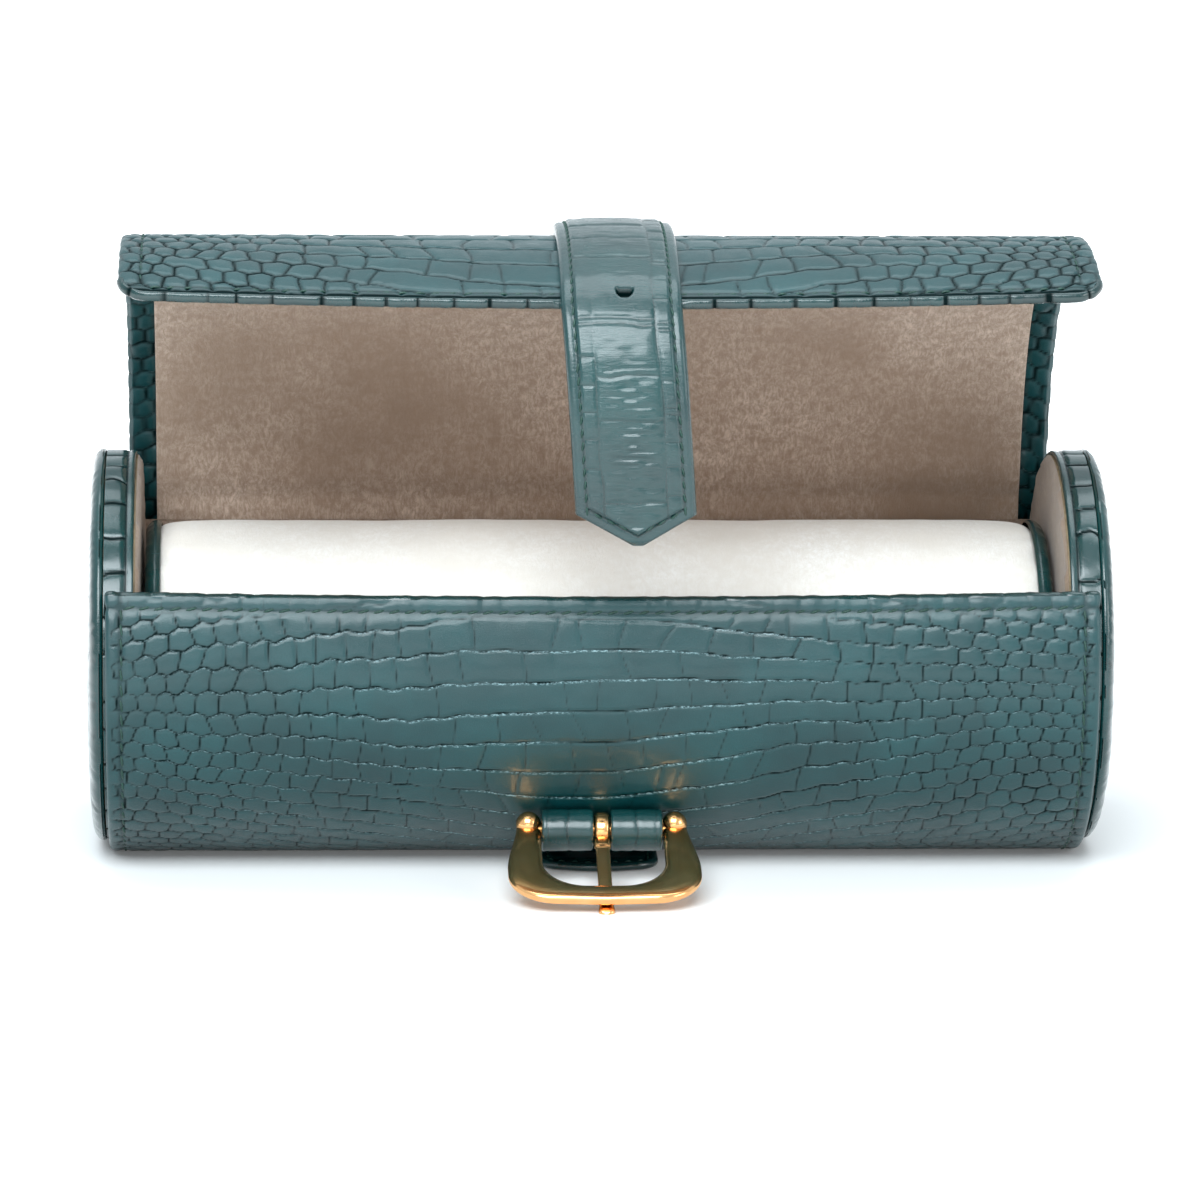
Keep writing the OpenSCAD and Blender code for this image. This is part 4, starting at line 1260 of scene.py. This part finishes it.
def loop_leather():
    """The leather loop round the heel bar: two barrels beside the tongue, and the tail on the wall."""
    slot_half = 1.9
    shape = Shape()
    toward = unit(HEEL - np.array([0, AXIS_Z]))
    along = np.array([toward[1], -toward[0]])
    x0, x1, rim = slot_half, LOOP_HALF, 0.5
    roll = np.radians([0, 30, 60, 90])
    barrel = steps(x0 + rim, x1 - rim, 0.4)[1:-1]
    short, tall = rim * (1 - np.cos(roll)), rim * (1 - np.sin(roll))
    xs = np.concatenate([[x0], x0 + short[1:], barrel, x1 - tall, [x1]])
    inset = np.concatenate([[LOOP_HOLLOW], tall[1:], 0 * barrel, short, [LOOP_HOLLOW]])
    a = np.radians(np.linspace(-150, 150, 61))
    ring = np.stack([np.cos(a), np.sin(a)], -1)
    for side in (-1, 1):
        rows = []
        for x, i in zip(xs, inset):
            r = LOOP_R - i
            yz = HEEL + r * (ring[:, :1] * toward + ring[:, 1:] * along)
            rows.append(np.column_stack([np.full(len(yz), side * x), yz]))
        base = np.stack(rows, 1)
        normal = grid_normals(base)
        sign = np.sign(((base[30, :, 1:] - HEEL) * normal[30, :, 1:]).sum(-1).mean())
        normal = normal * sign
        arc_len = np.repeat((a * LOOP_R)[:, None], len(xs), 1)
        xx = np.repeat((xs * side)[None], len(a), 0)
        fold = peak(np.abs(xx), 7.2 + 0.4 * noise(arc_len / 4, xx * 0, 91), 0.32)
        fold = fold + 0.7 * peak(np.abs(xx), 11.6, 0.3)
        relief = 0.08 - 0.15 * fold
        relief = relief + 0.05 * noise(xx / 1.5, arc_len / 2.5, 92)
        relief[:, 0] = relief[:, -1] = 0
        points = base + normal * relief[..., None]
        marks = plain_marks(fold.shape, np.clip(0.45 * fold, 0, 1))
        shape.grid(points, np.stack([xx, arc_len], -1), marks, flip=(sign < 0))
    tail = np.radians(np.linspace(*TAIL_ANGLES, 30))
    inside = steps(-LOOP_HALF + 0.6, LOOP_HALF - 0.6, 0.6)
    edge = np.concatenate([[-LOOP_HALF] * 2, inside, [LOOP_HALF] * 2])
    r = WALL_R + 1.8 + 0 * edge
    r[1], r[-2] = WALL_R + 1.3, WALL_R + 1.3
    r[0], r[-1] = WALL_R - 0.2, WALL_R - 0.2
    p = np.zeros((len(tail), len(edge), 3))
    p[..., 0] = edge
    p[..., 1] = -r * np.cos(tail)[:, None]
    p[..., 2] = AXIS_Z + r * np.sin(tail)[:, None]
    shape.grid(p, p[..., [0, 2]])
    return shape.build("buckle_loop_leather", [CAPS, THREAD])


def backing_tab():
    """The rounded leather tab behind the buckle, sewn along its edge."""
    reach, t, low, round_r = 30.2, 1.8, 0.2, 6.0
    half = LOOP_HALF + 0.2
    shape = Shape()
    left = arc(-half + round_r, -reach + round_r + 1.2, round_r, 180, 262, 16)
    front_x = np.linspace(left[-1][0], -left[-1][0], 40)[1:-1]
    bow = (front_x / front_x[0]) ** 2
    front = np.stack([front_x, left[-1][1] * bow + (-reach) * (1 - bow)], -1)
    outline = np.concatenate([[[-half, -12.0]], left, front, (left * [-1, 1])[::-1], [[half, -12.0]]])
    length = lengths(outline)
    target = steps(0, length[-1], 0.5)
    outline = np.stack([np.interp(target, length, outline[:, k]) for k in (0, 1)], -1)
    middle = np.array([0.0, -14.0])
    run = unit(np.gradient(outline, axis=0))
    inward = np.stack([-run[:, 1], run[:, 0]], -1)
    rings = []
    for inset, z in ((0.9, 0.0), (0.3, 0.15), (0.0, 0.6), (0.0, 1.2), (0.3, 1.62), (0.8, 1.8), (1.4, 1.8),
                     (1.9, 1.62), (2.2, 1.55), (2.5, 1.62), (3.1, 1.8), (4.5, 1.82)):
        ring = outline + inward * inset
        rings.append(np.column_stack([ring, np.full(len(ring), low + z)]))
    spine = np.column_stack([outline[:, 0] * 0.55, middle[1] + (outline[:, 1] - middle[1]) * 0.3,
                             np.full(len(outline), low + t)])
    rings.append(spine)
    p = np.stack(rings)
    ss = np.repeat(target[None], len(p), 0)
    across = np.cumsum(np.concatenate([[0], np.full(len(p) - 1, 0.6)]))[:, None] + 0 * ss
    marks = plain_marks(ss.shape)
    marks[7:10, :, 0] = 0.4
    shape.grid(p, np.stack([ss, across], -1), marks)
    stitch_row(shape, p[8], np.tile([0, 0, 1.0], (len(outline), 1)), pitch=2.9, length=2.1, radius=0.26)
    return shape.build("buckle_tab_leather", [EDGE_LEATHER, THREAD])


# ---------------------------------------------------------------- cushion

VOXEL, CLOTH_FRAMES, MOST_SWELL = 4.5, 20, 0.7


def simulated_roll():
    """A slightly slack roll, filled by a short cloth simulation."""
    mesh = bpy.data.meshes.new("cushion_suede")
    r, half = ROLL_R - 0.9, COVER_HALF + 2.2
    count, rows = 72, 40
    turn = np.linspace(0, 2 * math.pi, count, endpoint=False)
    x = np.linspace(-half, half, rows)
    pull = 0.9 * np.exp(-(half - np.abs(x)) / 5.0)
    points = [(a, (r - p) * math.cos(t), (r - p) * math.sin(t) + ROLL_Z)
              for a, p in zip(x, pull) for t in turn]
    faces = [(b + j, b + (j + 1) % count, b + count + (j + 1) % count, b + count + j)
             for b in range(0, (rows - 1) * count, count) for j in range(count)]
    faces.append(tuple(range(count))[::-1])
    faces.append(tuple(range((rows - 1) * count, rows * count)))
    mesh.from_pydata((np.array(points) * MM).tolist(), [], faces)
    obj = add_object("cushion_suede", mesh)
    bpy.context.view_layer.objects.active = obj
    remesh = obj.modifiers.new("voxels", "REMESH")
    remesh.mode = "VOXEL"
    remesh.voxel_size = VOXEL * MM
    bpy.ops.object.modifier_apply(modifier=remesh.name)
    before = vertices(obj)
    held = obj.vertex_groups.new(name="held")
    ends = np.nonzero(np.abs(before[:, 0]) > (half - 2.5))[0]
    held.add([int(i) for i in ends], 1.0, "REPLACE")
    cloth = obj.modifiers.new("filling", "CLOTH")
    cloth.settings.use_pressure = True
    cloth.settings.uniform_pressure_force = 4.0
    cloth.settings.effector_weights.gravity = 0.0
    cloth.settings.vertex_group_mass = "held"
    cloth.settings.tension_stiffness = 60
    cloth.settings.compression_stiffness = 60
    cloth.settings.bending_stiffness = 4
    for f in range(1, CLOTH_FRAMES + 1):
        bpy.context.scene.frame_set(f)
    bpy.ops.object.modifier_apply(modifier=cloth.name)
    move = vertices(obj) - before
    far = np.linalg.norm(move, axis=1, keepdims=True)
    set_vertices(obj, before + move * np.minimum(1, MOST_SWELL / np.maximum(far, 1e-6)))
    bpy.context.scene.frame_set(1)
    finer = obj.modifiers.new("finer", "SUBSURF")
    finer.levels = 2
    finer.subdivision_type = "CATMULL_CLARK"
    bpy.ops.object.modifier_apply(modifier=finer.name)
    return obj


def vertices(obj):
    """An object's points in millimetres."""
    flat = np.zeros(len(obj.data.vertices) * 3, np.float32)
    obj.data.vertices.foreach_get("co", flat)
    return flat.reshape(-1, 3).astype(float) / MM


def set_vertices(obj, points):
    obj.data.vertices.foreach_set("co", (points * MM).astype(np.float32).ravel())
    obj.data.update()


def cushion():
    """The roll that watches are strapped round, in cream suede."""
    obj = simulated_roll()
    p = vertices(obj)
    turn = np.arctan2(p[:, 2] - ROLL_Z, p[:, 1])
    radial = np.stack([0 * turn, np.cos(turn), np.sin(turn)], -1)
    on_side = np.hypot(p[:, 1], p[:, 2] - ROLL_Z) > ROLL_R - 5
    around = turn * ROLL_R
    soft = 0.16 * noise(p[:, 0] / 16, around / 12 + 40, 101)
    soft = soft + 0.07 * noise(p[:, 0] / 5, around / 5 + 40, 102)
    near_end = np.exp(-(COVER_HALF - np.abs(p[:, 0])) / 6.0)
    pucker = 0.28 * near_end * noise(p[:, 0] / 30, around / 3.2 + 40, 103)
    r = np.hypot(p[:, 1], p[:, 2] - ROLL_Z)
    widest = ROLL_R + 0.15 - 2.9 * smooth((np.abs(p[:, 0]) - COVER_HALF + 0.9) / 1.5)
    room = np.where(on_side, np.minimum(soft + pucker, widest - r), 0)
    set_vertices(obj, p + radial * room[:, None])
    lay_flat(obj.data, np.stack([p[:, 0], around], -1))
    obj.data.materials.append(CREAM)
    return obj


def cushion_end(side, name):
    """The leather end of the roll, with a rolled rim."""
    rim_r = ROLL_R - 0.9 - 0.2
    round_r = 2.2
    x1 = ROLL_HALF
    radii = steps(0.4, rim_r - round_r, 0.6)
    outline = np.concatenate([
        np.stack([x1 - 0.02 * radii / rim_r, radii], -1),
        arc(x1 - round_r, rim_r - round_r, round_r, 0, 90, 9)[1:],
        arc(COVER_HALF + 0.6, rim_r - 0.5, 0.5, 90, 180, 4)])
    return turned_leather(name, outline, ROLL_Z, 111 + side, side, CAPS, rim=5.0)


# ---------------------------------------------------------------- stage

def area_light(name, at, to, size, power, colour=(1, 1, 1)):
    light = bpy.data.lights.new(name, "AREA")
    light.shape = "RECTANGLE"
    light.size, light.size_y = size
    light.energy = power
    light.color = colour
    obj = add_object(name, light)
    obj.location = at
    direction = np.array(to, float) - np.array(at, float)
    obj.rotation_mode = "QUATERNION"
    obj.rotation_quaternion = Vector(direction).to_track_quat("-Z", "Y")


WHITE = (1, 1, 1, 1)
FLOOR_LIFT = 0.09
WORLD_LIGHT = 0.42


def make_floor():
    """A pale floor that shows white to the camera and in reflections, and keeps the shadow."""
    mesh = bpy.data.meshes.new("floor")
    a = 6.0
    mesh.from_pydata([(-a, -a, 0), (a, -a, 0), (a, a, 0), (-a, a, 0)], [], [(0, 1, 2, 3)])
    n = Nodes(bpy.data.materials.new("floor_white"))
    n.set(Base_Color=(0.86, 0.86, 0.86, 1), Roughness=0.9, Specular_IOR_Level=0.1)
    rays = n.add("LightPath").outputs
    seen = n.math("MAXIMUM", rays["Is Camera Ray"], rays["Is Glossy Ray"])
    away = n.add("VectorMath", {0: n.add("NewGeometry").outputs["Position"]}, operation="LENGTH")
    lift = n.product(seen, n.spread(away.outputs["Value"], 0.14, 0.34, FLOOR_LIFT, 1.0))
    shown = n.add("Emission", {"Color": WHITE, "Strength": lift})
    both = n.add("AddShader", {0: n.shader.outputs[0], 1: shown.outputs[0]})
    n.put(n.tree.nodes["Material Output"].inputs["Surface"], both.outputs[0])
    mesh.materials.append(n.owner)
    add_object("floor", mesh)


def make_world():
    """A white studio that lights the object at a lower level than it shows."""
    world = bpy.data.worlds.new("studio")
    bpy.context.scene.world = world
    n = Nodes(world)
    rays = n.add("LightPath").outputs
    seen = n.math("MAXIMUM", *(rays["Is %s Ray" % kind] for kind in ("Camera", "Glossy", "Transmission")))
    back = n.tree.nodes["Background"]
    n.put(back.inputs["Color"], n.mix(rays["Is Camera Ray"], (0.86, 0.95, 1.0, 1), WHITE))
    n.put(back.inputs["Strength"], n.spread(seen, 0.0, 1.0, WORLD_LIGHT, 1.0))


def make_camera():
    """The photograph's view: a long lens a little above the case and slightly to its left."""
    turn, rise, far, roll = math.radians(-2.74), math.radians(12), 1.45, math.radians(0.54)
    target = Vector((0.001, 0, 0.0536))
    back = Vector((math.sin(turn) * math.cos(rise), -math.cos(turn) * math.cos(rise), math.sin(rise)))
    right = (-back).cross(Vector((0, 0, 1))).normalized()
    up = right.cross(-back)
    right, up = right * math.cos(roll) + up * math.sin(roll), up * math.cos(roll) - right * math.sin(roll)
    data = bpy.data.cameras.new("camera")
    data.sensor_width = 36.0
    data.lens = 199.9
    data.clip_start, data.clip_end = 0.1, 50
    obj = add_object("camera", data)
    facing = Matrix((right, up, back)).transposed().to_4x4()
    obj.matrix_world = Matrix.Translation(target + back * far) @ facing
    bpy.context.scene.camera = obj


# ---------------------------------------------------------------- put together


def fold_piece(piece, a, b, start, stop, slot, *nodes):
    """Bakes a piece's transform and has it take the place of the given CAD nodes. Bodies a and b are not
    used.
    """
    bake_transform(piece)
    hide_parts(*nodes)


def fix_piece(piece, body, slot, *nodes):
    """Rides a piece on a body, and has it take the place of the given CAD nodes."""
    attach(piece, body)
    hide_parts(*nodes)


make_camera()
bpy.context.scene.view_settings.view_transform = "Standard"

fix_piece(front_wall(), "drum", "embossed_leather", "wall_leather", "front_lip_binding")
fix_piece(back_wall(), "drum", "embossed_leather", "wall_board")
fix_piece(drum_lining(), "drum", "suede_lining", "wall_lining")
fix_piece(loop_leather(), "drum", "edge_leather", "chape_loop")
fix_piece(backing_tab(), "drum", "edge_leather", "buckle_backing_tab")
SIDES = ((-1, "left"), (1, "right"))
for side, word in SIDES:
    disc = end_disc(side, "end_disc_%s_leather" % word)
    band = plug_band(side, "plug_band_%s_leather" % word)
    pleats = pleated_face(side, "plug_%s_pleats" % word)
    fix_piece(disc, "drum", "embossed_leather", "end_disc_" + word)
    fix_piece(band, "drum", "edge_leather", "plug_band_" + word)
    fix_piece(pleats, "drum", "pleated_suede", "pleated_face_" + word)

BODIES = ["drum"] + STRETCHES
BEND_REACH = STRETCH * 0.42
for k in range(5):
    reach = HINGE_REACH - 1 if k == 0 else BEND_REACH
    before = lid_at(np.array(k * STRETCH - reach))[0]
    after = lid_at(np.array(k * STRETCH + reach))[0]
    bend = (BODIES[k], BODIES[k + 1], before, after)
    layers = [part % (k + 1) for part in ("lid_leather_%d", "lid_margin_%d", "lid_board_%d")]
    fold_piece(lid_leather(k), *bend, "embossed_leather", *layers)
    fold_piece(lid_lining(k), *bend, "suede_lining", "lid_lining_%d" % (k + 1))
fix_piece(lid_front(), "lid_stretch_5", "edge_leather", "lid_edge_binding")

FLEX_AT = [strap_length_at(lid_circle(k * STRETCH, LID_LIFT + STRAP_T / 2)) for k in (2, 3, 4)]
BEND_AT = [strap_length_at(b) for b in BENDS]
STRAP_BODIES = STRETCHES[1:] + ["strap_fold_1", "strap_fold_2", "strap_loose_end"]
STRAP_NODES = [("strap_root",), ("strap_back",), ("strap_top",), ("strap_front",),
               ("strap_bend_upper",), ("strap_bend_lower", "strap_tip")]
crossings = FLEX_AT + BEND_AT
cuts = [0.0] + [(a + b) / 2 for a, b in zip(crossings, crossings[1:])] + [STRAP_LEN]
for k in range(6):
    piece = strap_piece("strap_length_%d" % (k + 1), cuts[k], cuts[k + 1])
    bodies = STRAP_BODIES[k:k + 2]
    reach = min(crossings[k] - cuts[k], cuts[k + 1] - crossings[k], 9.0) * 0.96
    before, after = (strap_at(np.array(crossings[k] + d))[1] for d in (-reach, reach))
    fold_piece(piece, *bodies, before, after, "strap_leather", *STRAP_NODES[k])

fix_piece(buckle_frame(), "buckle", "gold_plate", "buckle_frame")
fix_piece(tongue(), "tongue", "gold_plate", "buckle_tongue")

roll = cushion()
fix_piece(roll, "cushion", "cream_suede", "roll_cover", "roll_core")
for side, word in SIDES:
    end = cushion_end(side, "cushion_end_%s_leather" % word)
    fix_piece(end, "cushion", "edge_leather", "roll_end_" + word)

# The heel bar gets the gold plate's darker painted-shade copy.
KEPT = {"heel_bar": SHADED_GOLD, "plug_core_left": BOARD, "plug_core_right": BOARD}
for name, material in KEPT.items():
    mesh = frame["nodes"][name].data
    mesh.materials.clear()
    mesh.materials.append(material)

make_floor()
make_world()
COOL = (0.88, 0.96, 1.0)
area_light("key", (-0.3, -1.22, 1.22), (0, 0, 0.07), (1.3, 0.9), 38, COOL)
area_light("top", (0.0, 0.15, 1.5), (0, 0, 0.06), (1.6, 0.9), 15, COOL)
area_light("low", (-0.2, -1.5, 0.24), (0, 0, 0.09), (0.9, 0.22), 1.5, (0.9, 0.96, 1.0))
area_light("right", (1.3, -0.9, 0.6), (0, 0, 0.06), (0.7, 0.7), 6)
